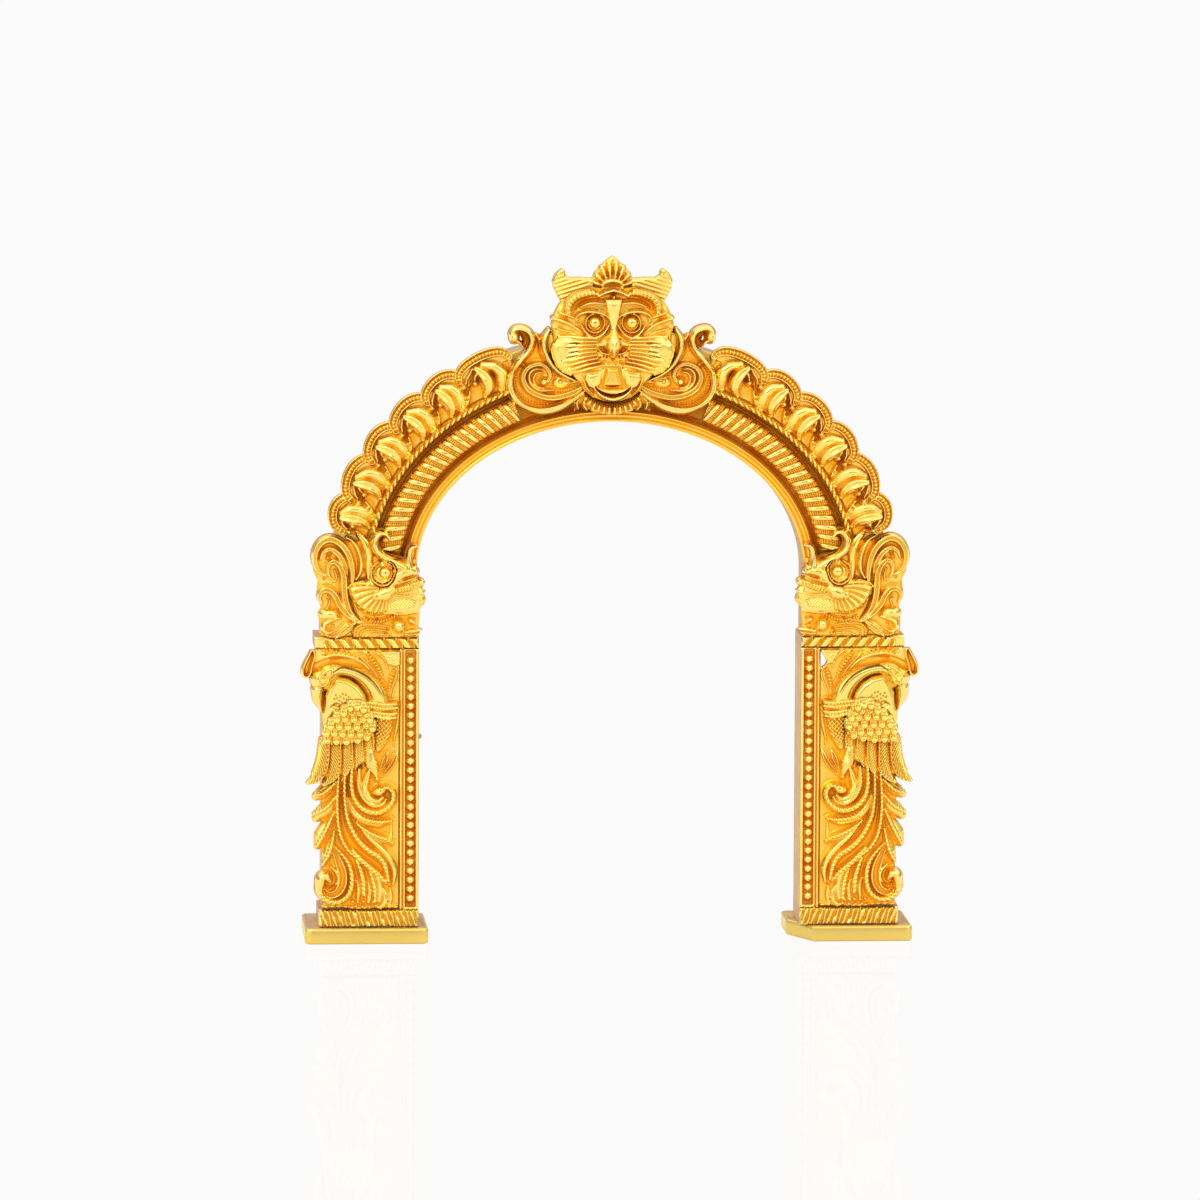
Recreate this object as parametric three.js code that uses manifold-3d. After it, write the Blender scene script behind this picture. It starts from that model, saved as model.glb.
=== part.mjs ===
// Deity aureole: a small free-standing makara arch in gold-plated cast metal.
// Two pillars on foot plates carry an open-backed arch. Ribbed, rope, vine and cusped border
// mouldings lie on its front, a horned lion mask crowns it, and a water beast and a peacock
// stand on each side. Millimetres, +Z up, front towards -Y, origin under the middle of the feet.

import * as THREE from 'three';
import { mergeVertices } from 'three/addons/utils/BufferGeometryUtils.js';
import Module from 'manifold-3d';

const wasm = await Module();
wasm.setup();

// Opening and overall depth
const HALF_SPAN = 33.8;
const RISE = 26.7;
const FRAME_BACK = 6.0;
const SHELL_WALL = 1.6;
const SEAT_GAP = 0.1;

// Foot plates
const FOOT_OUTREACH_IN = 1.7;
const FOOT_WIDTH = 21.5;
const FOOT_FRONT = -6.9;
const FOOT_DEPTH = 18.8;
const FOOT_THICKNESS = 2.7;
const FOOT_CORNER = 1.2;
const FOOT_CORNER_STEPS = 3;
const GROUND_CORNER_WIDTH = 3.9;
const GROUND_CORNER_DEPTH = 8.3;

// Plinths
const PLINTH_HEIGHT = 3.2;
const PLINTH_WIDTH = 17.4;
const PLINTH_FRONT = -5.4;
const PLINTH_FLUTE_PITCH = 1.5;
const PLINTH_FLUTE_SLANT = 1.1;

// Pillars
const PILLAR_SET_IN = 0.5;
const PILLAR_WIDTH = 16.8;
const PILLAR_HEIGHT = 45.6;
const PILLAR_FRONT = -4.5;
const PILLAR_BOSS_HEIGHT = 5.0;
const PILLAR_BOSS_WIDTH = 5.0;
const PILLAR_BOSS_DEPTH = 6.0;
const WINDOW_FROM_SIDE = 3.5;
const WINDOW_BELOW_TOP = 0.8;
const WINDOW_WIDTH = 1.2;
const WINDOW_HEIGHT = 3.2;

// Beaded strips
const STRIP_WIDTH = 3.3;
const STRIP_THICKNESS = 0.6;
const STRIP_RIM_WIDTH = 0.7;
const STRIP_RIM_HEIGHT = 0.5;
const STRIP_BEAD_RADIUS = 0.7;
const STRIP_BEAD_PITCH = 1.59;
const STRIP_BEAD_HEIGHT = 0.9;

// Capitals
const CAPITAL_WIDTH = 18.1;
const CAPITAL_HEIGHT = 2.1;
const CAPITAL_FRONT = -5.2;
const CAPITAL_FLUTE_PITCH = 2.2;
const CAPITAL_FLUTE_SLANT = 1.3;
const FLUTE_HEIGHT = 0.5;
const FLUTE_FILL = 0.62;

// Arch shell, with widths measured outward from its inner ellipse
const LEG_HEIGHT = 10.8;
const ARCH_WIDTH = 15.3;
const ARCH_FRONT = -4.0;
const LIP_WIDTH = 1.9;
const LIP_HEIGHT = 1.0;
const LIP_START = 6.2;
const ARCH_STEPS = 14;
const ARCH_BOSS_HEIGHT = 4.0;

// Arch mouldings
const ROLL_INNER = 3.0;
const ROLL_OUTER = 7.0;
const ROLL_HEIGHT = 2.5;
const ROLL_RIB_DEPTH = 0.45;
const ROLL_RIB_PITCH = 1.47;
const ROLL_RIB_SLANT = 1.0;
const ROLL_START = 6.2;
const ROLL_END_FROM_APEX = 17.0;
const ROPE_INNER = 7.9;
const ROPE_OUTER = 9.1;
const ROPE_HEIGHT = 1.3;
const ROPE_START = 6.6;
const ROPE_END_FROM_APEX = 17.4;
const ROPE_STEPS = 12;
const VINE_INNER = 9.3;
const VINE_OUTER = 13.9;
const VINE_GROUND = 0.6;
const VINE_HEIGHT = 2.6;
const VINE_SHORT = 1.8;
const VINE_UNIT_LONGEST = 4.8;
const BORDER_INNER = 14.1;
const BORDER_VALLEY = 15.5;
const BORDER_PEAK = 16.9;
const BORDER_THICKNESS = 1.3;
const BORDER_START = 4.9;
const BORDER_END_FROM_APEX = 14.45;
const LOBE_SHARES = [0.119, 0.164, 0.154, 0.168, 0.164, 0.231];
const LOBE_STEPS = 5;
const LOBE_LEAN = 0.58;

// Figure relief
const PEACOCK_HEIGHT = 3.6;
const WING_HEIGHT = 4.0;
const TAIL_HEIGHT = 2.4;
const TAIL_BELOW_TOP = 24.3;
const TAIL_ABOVE_PLINTH = 0.5;
const TAIL_DRAWN_LENGTH = 20.8;
const BEAST_HEIGHT = 4.2;
const PLUME_HEIGHT = 3.0;
const MASK_THICKNESS = 3.0;
const MASK_HEIGHT = 7.9;
const SCROLL_HEIGHT = 3.2;
const CROWN_THICKNESS = 1.8;
const HORN_THICKNESS = 1.8;
const TANG_THICKNESS = 1.4;
const BEARD_HEIGHT = 2.4;

// Fasteners
const RIVET_RADIUS = 0.8;
const RIVET_HEAD_RADIUS = 1.5;
const RIVET_HEAD_HEIGHT = 0.8;
const RIVET_GRIP = 1.6;
const SCREW_RADIUS = 1.0;
const SCREW_HEAD_RADIUS = 2.0;
const SCREW_HEAD_HEIGHT = 1.2;
const SCREW_LENGTH = 8.6;
const DOWEL_RADIUS = 1.0;
const DOWEL_GRIP = 3.0;
const HOLE_CLEARANCE = 0.1;
const ROUND_SIDES = 10;

// Casting remains
const NUB_RADIUS = 0.55;
const NUB_REACH = 0.7;

// Levels and places worked out from the sizes above
const PLINTH_BASE = FOOT_THICKNESS;
const PILLAR_BASE = PLINTH_BASE + PLINTH_HEIGHT;
const PILLAR_TOP = PILLAR_BASE + PILLAR_HEIGHT;
const LEG_BASE = PILLAR_TOP + CAPITAL_HEIGHT;
const SPRINGING = LEG_BASE + LEG_HEIGHT;
const APEX = SPRINGING + RISE;
const PILLAR_INNER = HALF_SPAN - PILLAR_SET_IN;
const PILLAR_CENTRE = PILLAR_INNER + PILLAR_WIDTH / 2;
const FOOT_INNER = PILLAR_INNER - FOOT_OUTREACH_IN;
const DOWEL_X = HALF_SPAN + ARCH_WIDTH / 2;
const DOWEL_Y = (ARCH_FRONT + SHELL_WALL + FRAME_BACK) / 2;
const SCREW_Y = PILLAR_FRONT + SHELL_WALL + PILLAR_BOSS_DEPTH / 2;

// Closed surfaces and solids

// Turns the faces of a closed surface outward.
function facingOut(geometry) {
  const position = geometry.getAttribute('position');
  const index = geometry.getIndex();
  const a = new THREE.Vector3();
  const b = new THREE.Vector3();
  const c = new THREE.Vector3();
  let volume = 0;
  for (let i = 0; i < index.count; i += 3) {
    a.fromBufferAttribute(position, index.getX(i));
    b.fromBufferAttribute(position, index.getX(i + 1));
    c.fromBufferAttribute(position, index.getX(i + 2));
    volume += a.dot(b.cross(c));
  }
  if (volume < 0) {
    for (let i = 0; i < index.count; i += 3) {
      const second = index.getX(i + 1);
      index.setX(i + 1, index.getX(i + 2));
      index.setX(i + 2, second);
    }
  }
  return geometry;
}

function welded(geometry) {
  const bare = geometry.clone();
  bare.deleteAttribute('normal');
  bare.deleteAttribute('uv');
  return facingOut(mergeVertices(bare, 1e-4));
}

function solidOf(geometry) {
  const bare = welded(geometry);
  const mesh = new wasm.Mesh({
    numProp: 3,
    vertProperties: new Float32Array(bare.getAttribute('position').array),
    triVerts: new Uint32Array(bare.getIndex().array),
  });
  return new wasm.Manifold(mesh);
}

function geometryOf(solid) {
  const mesh = solid.getMesh();
  const geometry = new THREE.BufferGeometry();
  geometry.setAttribute('position', new THREE.BufferAttribute(new Float32Array(mesh.vertProperties), 3));
  geometry.setIndex(new THREE.BufferAttribute(new Uint32Array(mesh.triVerts), 1));
  return geometry;
}

function joined(pieces) {
  return geometryOf(pieces.map(solidOf).reduce((whole, piece) => whole.add(piece)));
}

function cut(piece, tools) {
  return geometryOf(tools.map(solidOf).reduce((whole, tool) => whole.subtract(tool), solidOf(piece)));
}

function mirrored(geometry) {
  return facingOut(welded(geometry).scale(-1, 1, 1));
}

// Joins rows of closed loops into a tube with flat ends. Each loop has the same number of points,
// and cap says which of them the triangles of an end join where a simple fan would not do.
function loft(rows, cap = null) {
  const count = rows[0].length;
  const positions = rows.flat(2);
  const triangles = [];
  for (let i = 0; i + 1 < rows.length; i += 1) {
    for (let j = 0; j < count; j += 1) {
      const next = (j + 1) % count;
      triangles.push(i * count + j, i * count + next, (i + 1) * count + next);
      triangles.push(i * count + j, (i + 1) * count + next, (i + 1) * count + j);
    }
  }
  const last = (rows.length - 1) * count;
  const fan = Array.from({ length: count - 2 }, (_, j) => [0, j + 1, j + 2]);
  for (const [a, b, c] of cap || fan) {
    triangles.push(a, c, b);
    triangles.push(last + a, last + b, last + c);
  }
  const geometry = new THREE.BufferGeometry();
  geometry.setAttribute('position', new THREE.Float32BufferAttribute(positions, 3));
  geometry.setIndex(triangles);
  return facingOut(geometry);
}

// An outline drawn in the X-Z plane, made solid from its back to its front.
function plate(outline, back, front) {
  const shape = new THREE.Shape(outline.map(([x, z]) => new THREE.Vector2(x, z)));
  const geometry = new THREE.ExtrudeGeometry(shape, { depth: back - front, bevelEnabled: false });
  return geometry.rotateX(Math.PI / 2).translate(0, back, 0);
}

// An outline drawn in the X-Y plane, made solid upward.
function slab(outline, bottom, top) {
  const shape = new THREE.Shape(outline.map(([x, y]) => new THREE.Vector2(x, y)));
  const geometry = new THREE.ExtrudeGeometry(shape, { depth: top - bottom, bevelEnabled: false });
  return geometry.translate(0, 0, bottom);
}

function block(x0, x1, y0, y1, z0, z1) {
  const geometry = new THREE.BoxGeometry(x1 - x0, y1 - y0, z1 - z0);
  return geometry.translate((x0 + x1) / 2, (y0 + y1) / 2, (z0 + z1) / 2);
}

function pinAlongY(x, z, radius, y0, y1) {
  const geometry = new THREE.CylinderGeometry(radius, radius, y1 - y0, ROUND_SIDES);
  return geometry.translate(x, (y0 + y1) / 2, z);
}

function pinAlongZ(x, y, radius, z0, z1) {
  const geometry = new THREE.CylinderGeometry(radius, radius, z1 - z0, ROUND_SIDES);
  return geometry.rotateX(Math.PI / 2).translate(x, y, (z0 + z1) / 2);
}

// A value that runs evenly through a short list as t goes from 0 to 1.
function along(values, t) {
  const place = t * (values.length - 1);
  const low = Math.min(Math.floor(place), values.length - 2);
  return THREE.MathUtils.lerp(values[low], values[low + 1], place - low);
}

// A raised strand with a flat back: a smooth line through the points, chamfered on both sides.
function strand(points, halfWidths, height, back, steps = 6) {
  const curve = new THREE.SplineCurve(points.map(([x, z]) => new THREE.Vector2(x, z)));
  const chamfer = 0.6;
  const rows = [];
  for (let i = 0; i <= steps; i += 1) {
    const t = i / steps;
    const place = curve.getPointAt(t);
    const run = curve.getTangentAt(t);
    const half = along(halfWidths, t);
    const corner = (side, rise) => [
      place.x - run.y * side * half,
      back - rise * height,
      place.y + run.x * side * half,
    ];
    rows.push([corner(-1, 0), corner(-chamfer, 1), corner(chamfer, 1), corner(1, 0)]);
  }
  return loft(rows);
}

// A boss with a flat back and a rounded front.
function dome(x, z, radius, height, back, sides = 6) {
  const loop = (share, rise) => {
    const points = [];
    for (let k = 0; k < sides; k += 1) {
      const angle = (2 * Math.PI * k) / sides;
      points.push([
        x + radius * share * Math.cos(angle),
        back - rise * height,
        z + radius * share * Math.sin(angle),
      ]);
    }
    return points;
  };
  return loft(radius > 1.2 ? [loop(1, 0), loop(0.85, 0.55), loop(0.4, 1)] : [loop(1, 0), loop(0.5, 1)]);
}

function moved(points, x, z) {
  return points.map(([px, pz]) => [px + x, pz + z]);
}

// Places on the arch, by the distance run from the springing and the offset outward

const ELLIPSE_TABLE = [[0, 0]];
const ELLIPSE_CELLS = 400;
for (let i = 1; i <= ELLIPSE_CELLS; i += 1) {
  const middle = ((i - 0.5) / ELLIPSE_CELLS) * (Math.PI / 2);
  const rate = Math.hypot(HALF_SPAN * Math.sin(middle), RISE * Math.cos(middle));
  const step = (rate * (Math.PI / 2)) / ELLIPSE_CELLS;
  ELLIPSE_TABLE.push([ELLIPSE_TABLE[i - 1][0] + step, (i / ELLIPSE_CELLS) * (Math.PI / 2)]);
}
const QUARTER_LENGTH = ELLIPSE_TABLE[ELLIPSE_CELLS][0];

function archAt(run, offset) {
  if (run <= 0) {
    return [HALF_SPAN + offset, SPRINGING + run];
  }
  let cell = 1;
  while (cell < ELLIPSE_CELLS && ELLIPSE_TABLE[cell][0] < run) {
    cell += 1;
  }
  const [before, angleBefore] = ELLIPSE_TABLE[cell - 1];
  const [after, angleAfter] = ELLIPSE_TABLE[cell];
  const angle = angleBefore + ((angleAfter - angleBefore) * (run - before)) / (after - before);
  const outward = new THREE.Vector2(Math.cos(angle) / HALF_SPAN, Math.sin(angle) / RISE).normalize();
  return [
    HALF_SPAN * Math.cos(angle) + outward.x * offset,
    SPRINGING + RISE * Math.sin(angle) + outward.y * offset,
  ];
}

// The triangles that fill a profile of any shape.
function endOf(profile) {
  return THREE.ShapeUtils.triangulateShape(profile.map(([offset, y]) => new THREE.Vector2(offset, y)), []);
}

// Carries a closed profile of [offset, y] points along the arch between two distances.
function moulding(profile, start, end, steps, slant = 0, swell = () => 0) {
  const rows = [];
  const middle = (profile[0][0] + profile[profile.length - 1][0]) / 2;
  for (let i = 0; i <= steps; i += 1) {
    const run = start + ((end - start) * i) / steps;
    rows.push(profile.map(([offset, y, free = 0]) => {
      const [x, z] = archAt(run - (slant * (offset - middle)) / (2 * middle), offset);
      return [x, y - free * swell(i), z];
    }));
  }
  return loft(rows);
}

// Foot plates, plinths, pillars and capitals, drawn for the side towards +X

function roundedCorner(x, y, signX, signY) {
  const points = [];
  for (let i = 0; i <= FOOT_CORNER_STEPS; i += 1) {
    const angle = ((Math.PI / 2) * i) / FOOT_CORNER_STEPS;
    points.push([
      x - signX * FOOT_CORNER * (1 - Math.cos(angle)),
      y - signY * FOOT_CORNER * (1 - Math.sin(angle)),
    ]);
  }
  return signX * signY > 0 ? points : points.reverse();
}

function screwHoles(tools, top) {
  return [
    ...tools,
    pinAlongZ(PILLAR_CENTRE, SCREW_Y, SCREW_RADIUS + HOLE_CLEARANCE, -1, top),
  ];
}

function footPlate(groundCorner) {
  const outer = FOOT_INNER + FOOT_WIDTH;
  const back = FOOT_FRONT + FOOT_DEPTH;
  const frontInner = groundCorner
    ? [
      [FOOT_INNER, FOOT_FRONT + GROUND_CORNER_DEPTH],
      [FOOT_INNER + GROUND_CORNER_WIDTH, FOOT_FRONT],
    ]
    : roundedCorner(FOOT_INNER, FOOT_FRONT, -1, -1);
  const outline = [
    ...frontInner,
    ...roundedCorner(outer, FOOT_FRONT, 1, -1),
    ...roundedCorner(outer, back, 1, 1),
    ...roundedCorner(FOOT_INNER, back, -1, 1),
  ];
  const recess = pinAlongZ(
    PILLAR_CENTRE,
    SCREW_Y,
    SCREW_HEAD_RADIUS + HOLE_CLEARANCE,
    -1,
    SCREW_HEAD_HEIGHT + HOLE_CLEARANCE,
  );
  return cut(slab(outline, 0, FOOT_THICKNESS), screwHoles([recess], FOOT_THICKNESS + 1));
}

// Slanted flutes on the front of a block.
function flutes(left, right, bottom, top, front, pitch, slant) {
  const bars = [];
  const room = right - left - Math.abs(slant);
  const count = Math.floor(room / pitch);
  const width = pitch * FLUTE_FILL;
  const margin = (room - (count - 1) * pitch - width) / 2;
  for (let i = 0; i < count; i += 1) {
    const x = left + Math.max(0, -slant) + margin + i * pitch;
    bars.push(plate([
      [x, top],
      [x + width, top],
      [x + width + slant, bottom],
      [x + slant, bottom],
    ], front + SEAT_GAP, front - FLUTE_HEIGHT));
  }
  return bars;
}

function plinth() {
  const left = PILLAR_INNER;
  const right = PILLAR_INNER + PLINTH_WIDTH;
  const body = block(left, right, PLINTH_FRONT, FRAME_BACK, PLINTH_BASE, PILLAR_BASE);
  const ribs = flutes(
    left,
    right,
    PLINTH_BASE,
    PILLAR_BASE,
    PLINTH_FRONT,
    PLINTH_FLUTE_PITCH,
    -PLINTH_FLUTE_SLANT,
  );
  return cut(joined([body, ...ribs]), screwHoles([], PILLAR_BASE + 1));
}

function capital() {
  const left = PILLAR_INNER;
  const right = PILLAR_INNER + CAPITAL_WIDTH;
  const body = block(left, right, CAPITAL_FRONT, FRAME_BACK, PILLAR_TOP, LEG_BASE);
  const ribs = flutes(
    left,
    right,
    PILLAR_TOP,
    LEG_BASE,
    CAPITAL_FRONT,
    CAPITAL_FLUTE_PITCH,
    -CAPITAL_FLUTE_SLANT,
  );
  const hole = pinAlongZ(DOWEL_X, DOWEL_Y, DOWEL_RADIUS + HOLE_CLEARANCE, PILLAR_TOP - 1, LEG_BASE + 1);
  return cut(joined([body, ...ribs]), [hole]);
}

// The open-backed channel of a pillar, with a boss for the foot screw and one for the dowel.
function pillarShell(hasWindow, nubs) {
  const left = PILLAR_INNER;
  const right = PILLAR_INNER + PILLAR_WIDTH;
  const inside = PILLAR_FRONT + SHELL_WALL;
  const channel = slab([
    [left, PILLAR_FRONT],
    [right, PILLAR_FRONT],
    [right, FRAME_BACK],
    [right - SHELL_WALL, FRAME_BACK],
    [right - SHELL_WALL, inside],
    [left + SHELL_WALL, inside],
    [left + SHELL_WALL, FRAME_BACK],
    [left, FRAME_BACK],
  ], PILLAR_BASE, PILLAR_TOP);
  const half = PILLAR_BOSS_WIDTH / 2;
  const rear = inside + PILLAR_BOSS_DEPTH;
  const wall = inside - SEAT_GAP;
  const lowBoss = block(
    PILLAR_CENTRE - half,
    PILLAR_CENTRE + half,
    wall,
    rear,
    PILLAR_BASE,
    PILLAR_BASE + PILLAR_BOSS_HEIGHT,
  );
  const highBoss = block(
    DOWEL_X - half,
    DOWEL_X + half,
    wall,
    rear,
    PILLAR_TOP - PILLAR_BOSS_HEIGHT,
    PILLAR_TOP,
  );
  const screwTop = SCREW_HEAD_HEIGHT + SCREW_LENGTH;
  const tools = [
    pinAlongZ(PILLAR_CENTRE, SCREW_Y, SCREW_RADIUS + HOLE_CLEARANCE, PILLAR_BASE - 1, screwTop + HOLE_CLEARANCE),
    pinAlongZ(
      DOWEL_X,
      DOWEL_Y,
      DOWEL_RADIUS + HOLE_CLEARANCE,
      PILLAR_TOP - DOWEL_GRIP - HOLE_CLEARANCE,
      PILLAR_TOP + 1,
    ),
    rivetHole(...PEACOCK_RIVET, PILLAR_FRONT),
  ];
  if (hasWindow) {
    const windowLeft = left + WINDOW_FROM_SIDE;
    const windowTop = PILLAR_TOP - WINDOW_BELOW_TOP;
    tools.push(block(
      windowLeft,
      windowLeft + WINDOW_WIDTH,
      PILLAR_FRONT - 1,
      inside + 1,
      windowTop - WINDOW_HEIGHT,
      windowTop,
    ));
  }
  return cut(joined([channel, lowBoss, highBoss, ...nubs]), tools);
}

function beadStrip() {
  const left = PILLAR_INNER;
  const right = left + STRIP_WIDTH;
  const front = PILLAR_FRONT - STRIP_THICKNESS;
  const pieces = [block(left, right, front, PILLAR_FRONT, PILLAR_BASE, PILLAR_TOP)];
  for (const x of [left, right - STRIP_RIM_WIDTH]) {
    pieces.push(block(
      x,
      x + STRIP_RIM_WIDTH,
      front - STRIP_RIM_HEIGHT,
      front + SEAT_GAP,
      PILLAR_BASE,
      PILLAR_TOP,
    ));
  }
  const count = Math.floor((PILLAR_HEIGHT - STRIP_BEAD_PITCH) / STRIP_BEAD_PITCH);
  const margin = (PILLAR_HEIGHT - (count - 1) * STRIP_BEAD_PITCH) / 2;
  for (let i = 0; i < count; i += 1) {
    const z = PILLAR_BASE + margin + i * STRIP_BEAD_PITCH;
    pieces.push(dome(
      (left + right) / 2,
      z,
      STRIP_BEAD_RADIUS,
      STRIP_BEAD_HEIGHT + SEAT_GAP,
      front + SEAT_GAP,
      6,
    ));
  }
  return joined(pieces);
}

// Rivets and their holes, on axes along Y

const MASK_RIVET = [4.2, APEX + 9.6];
const PEACOCK_RIVET = [PILLAR_INNER + 6.6, PILLAR_TOP - 12.6];
const BEAST_RIVET = [HALF_SPAN + 6.2, SPRINGING - 3.0];

function rivetHole(x, z, face) {
  return pinAlongY(x, z, RIVET_RADIUS + HOLE_CLEARANCE, face - RIVET_GRIP - HOLE_CLEARANCE, face + SHELL_WALL + 1);
}

function rivet(x, z, face) {
  const inside = face + SHELL_WALL;
  const shank = pinAlongY(x, z, RIVET_RADIUS, face - RIVET_GRIP, inside + SEAT_GAP);
  const head = pinAlongY(x, z, RIVET_HEAD_RADIUS, inside, inside + RIVET_HEAD_HEIGHT);
  return joined([shank, head]);
}

function footScrew() {
  const shank = pinAlongZ(PILLAR_CENTRE, SCREW_Y, SCREW_RADIUS, SEAT_GAP, SCREW_HEAD_HEIGHT + SCREW_LENGTH);
  const head = pinAlongZ(PILLAR_CENTRE, SCREW_Y, SCREW_HEAD_RADIUS, SEAT_GAP, SCREW_HEAD_HEIGHT);
  const slot = block(
    PILLAR_CENTRE - SCREW_HEAD_RADIUS - 1,
    PILLAR_CENTRE + SCREW_HEAD_RADIUS + 1,
    SCREW_Y - 0.3,
    SCREW_Y + 0.3,
    -1,
    SCREW_HEAD_HEIGHT / 2,
  );
  return cut(joined([shank, head]), [slot]);
}

function dowel() {
  return pinAlongZ(DOWEL_X, DOWEL_Y, DOWEL_RADIUS, PILLAR_TOP - DOWEL_GRIP, LEG_BASE + DOWEL_GRIP);
}

// Arch shell and its mouldings

// Carries a closed profile of [offset, y] points over the whole arch, between two equal distances.
function wholeArch(profile, start) {
  const curved = Math.max(start, 0);
  const runs = start < 0 ? [start] : [];
  for (let i = 0; i <= ARCH_STEPS; i += 1) {
    runs.push(curved + ((QUARTER_LENGTH - curved) * i) / ARCH_STEPS);
  }
  const right = runs.map((run) => profile.map(([offset, y]) => {
    const [x, z] = archAt(run, offset);
    return [x, y, z];
  }));
  const left = right.slice(0, -1).reverse().map((row) => row.map(([x, y, z]) => [-x, y, z]));
  return loft([...right, ...left], endOf(profile));
}

function archShell(nubs) {
  const inside = ARCH_FRONT + SHELL_WALL;
  const section = [
    [0, ARCH_FRONT],
    [ARCH_WIDTH, ARCH_FRONT],
    [ARCH_WIDTH, FRAME_BACK],
    [ARCH_WIDTH - SHELL_WALL, FRAME_BACK],
    [ARCH_WIDTH - SHELL_WALL, inside],
    [SHELL_WALL, inside],
    [SHELL_WALL, FRAME_BACK],
    [0, FRAME_BACK],
  ];
  const channel = wholeArch(section, -LEG_HEIGHT);
  const lip = wholeArch([
    [0, ARCH_FRONT + SEAT_GAP],
    [0, ARCH_FRONT - LIP_HEIGHT],
    [LIP_WIDTH, ARCH_FRONT - LIP_HEIGHT],
    [LIP_WIDTH, ARCH_FRONT + SEAT_GAP],
  ], LIP_START);
  const half = PILLAR_BOSS_WIDTH / 2;
  const holes = [];
  const bosses = [];
  for (const side of [-1, 1]) {
    const x = side * DOWEL_X;
    bosses.push(block(
      x - half,
      x + half,
      inside - SEAT_GAP,
      inside + PILLAR_BOSS_DEPTH,
      LEG_BASE,
      LEG_BASE + ARCH_BOSS_HEIGHT,
    ));
    holes.push(pinAlongZ(
      x,
      DOWEL_Y,
      DOWEL_RADIUS + HOLE_CLEARANCE,
      LEG_BASE - 1,
      LEG_BASE + DOWEL_GRIP + HOLE_CLEARANCE,
    ));
    holes.push(rivetHole(side * MASK_RIVET[0], MASK_RIVET[1], ARCH_FRONT));
    holes.push(rivetHole(side * BEAST_RIVET[0], BEAST_RIVET[1], ARCH_FRONT));
  }
  return cut(joined([channel, lip, ...bosses, ...nubs]), holes);
}

function ribbedRoll() {
  const end = QUARTER_LENGTH - ROLL_END_FROM_APEX;
  const ribs = Math.round((end - ROLL_START) / ROLL_RIB_PITCH);
  const middle = (ROLL_INNER + ROLL_OUTER) / 2;
  const quarter = (ROLL_OUTER - ROLL_INNER) / 4;
  const profile = [
    [ROLL_INNER, ARCH_FRONT],
    [middle - quarter * 1.2, ARCH_FRONT - ROLL_HEIGHT * 0.7, 0.8],
    [middle, ARCH_FRONT - ROLL_HEIGHT, 1],
    [middle + quarter * 1.2, ARCH_FRONT - ROLL_HEIGHT * 0.7, 0.8],
    [ROLL_OUTER, ARCH_FRONT],
  ];
  const swell = (i) => (i % 2 === 0 ? -ROLL_RIB_DEPTH : 0);
  return moulding(profile, ROLL_START, end, ribs * 2, ROLL_RIB_SLANT, swell);
}

function ropeMoulding() {
  const middle = (ROPE_INNER + ROPE_OUTER) / 2;
  const profile = [
    [ROPE_INNER, ARCH_FRONT],
    [ROPE_INNER, ARCH_FRONT - ROPE_HEIGHT * 0.6],
    [middle, ARCH_FRONT - ROPE_HEIGHT],
    [ROPE_OUTER, ARCH_FRONT - ROPE_HEIGHT * 0.6],
    [ROPE_OUTER, ARCH_FRONT],
  ];
  return moulding(profile, ROPE_START, QUARTER_LENGTH - ROPE_END_FROM_APEX, ROPE_STEPS);
}

// The distances where one lobe of the border ends and the next begins.
function lobeStarts() {
  const reach = QUARTER_LENGTH - BORDER_END_FROM_APEX - BORDER_START;
  const starts = [BORDER_START];
  for (const share of LOBE_SHARES) {
    starts.push(starts[starts.length - 1] + share * reach);
  }
  return starts;
}

function vineBand() {
  const starts = lobeStarts();
  const end = starts[starts.length - 1] - VINE_SHORT;
  const ground = moulding([
    [VINE_INNER, ARCH_FRONT],
    [VINE_INNER, ARCH_FRONT - VINE_GROUND],
    [VINE_OUTER, ARCH_FRONT - VINE_GROUND],
    [VINE_OUTER, ARCH_FRONT],
  ], BORDER_START, end, 12);
  const pieces = [ground];
  const back = ARCH_FRONT - VINE_GROUND + SEAT_GAP;
  const band = VINE_OUTER - VINE_INNER;
  LOBE_SHARES.forEach((_, i) => {
    const unit = Math.min(starts[i + 1] - starts[i], VINE_UNIT_LONGEST);
    const place = ([share, across]) => archAt(starts[i] + share * unit, VINE_INNER + across * band);
    const strap = [[0.16, 0.12], [0.12, 0.5], [0.3, 0.84], [0.56, 0.8], [0.66, 0.5]].map(place);
    const leaf = [[0.3, 0.1], [0.46, 0.28], [0.74, 0.2]].map(place);
    const ball = place([0.42, 0.5]);
    const bud = place([0.86, 0.78]);
    pieces.push(strand(strap, [0.35, 0.6, 0.6, 0.35], VINE_HEIGHT - VINE_GROUND, back, 4));
    pieces.push(strand(leaf, [0.3, 0.55, 0.3], VINE_HEIGHT * 0.5, back, 2));
    pieces.push(dome(...ball, 0.7, VINE_HEIGHT - VINE_GROUND, back, 6));
    pieces.push(dome(...bud, 0.5, VINE_HEIGHT * 0.5, back, 6));
  });
  return joined(pieces);
}

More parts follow.
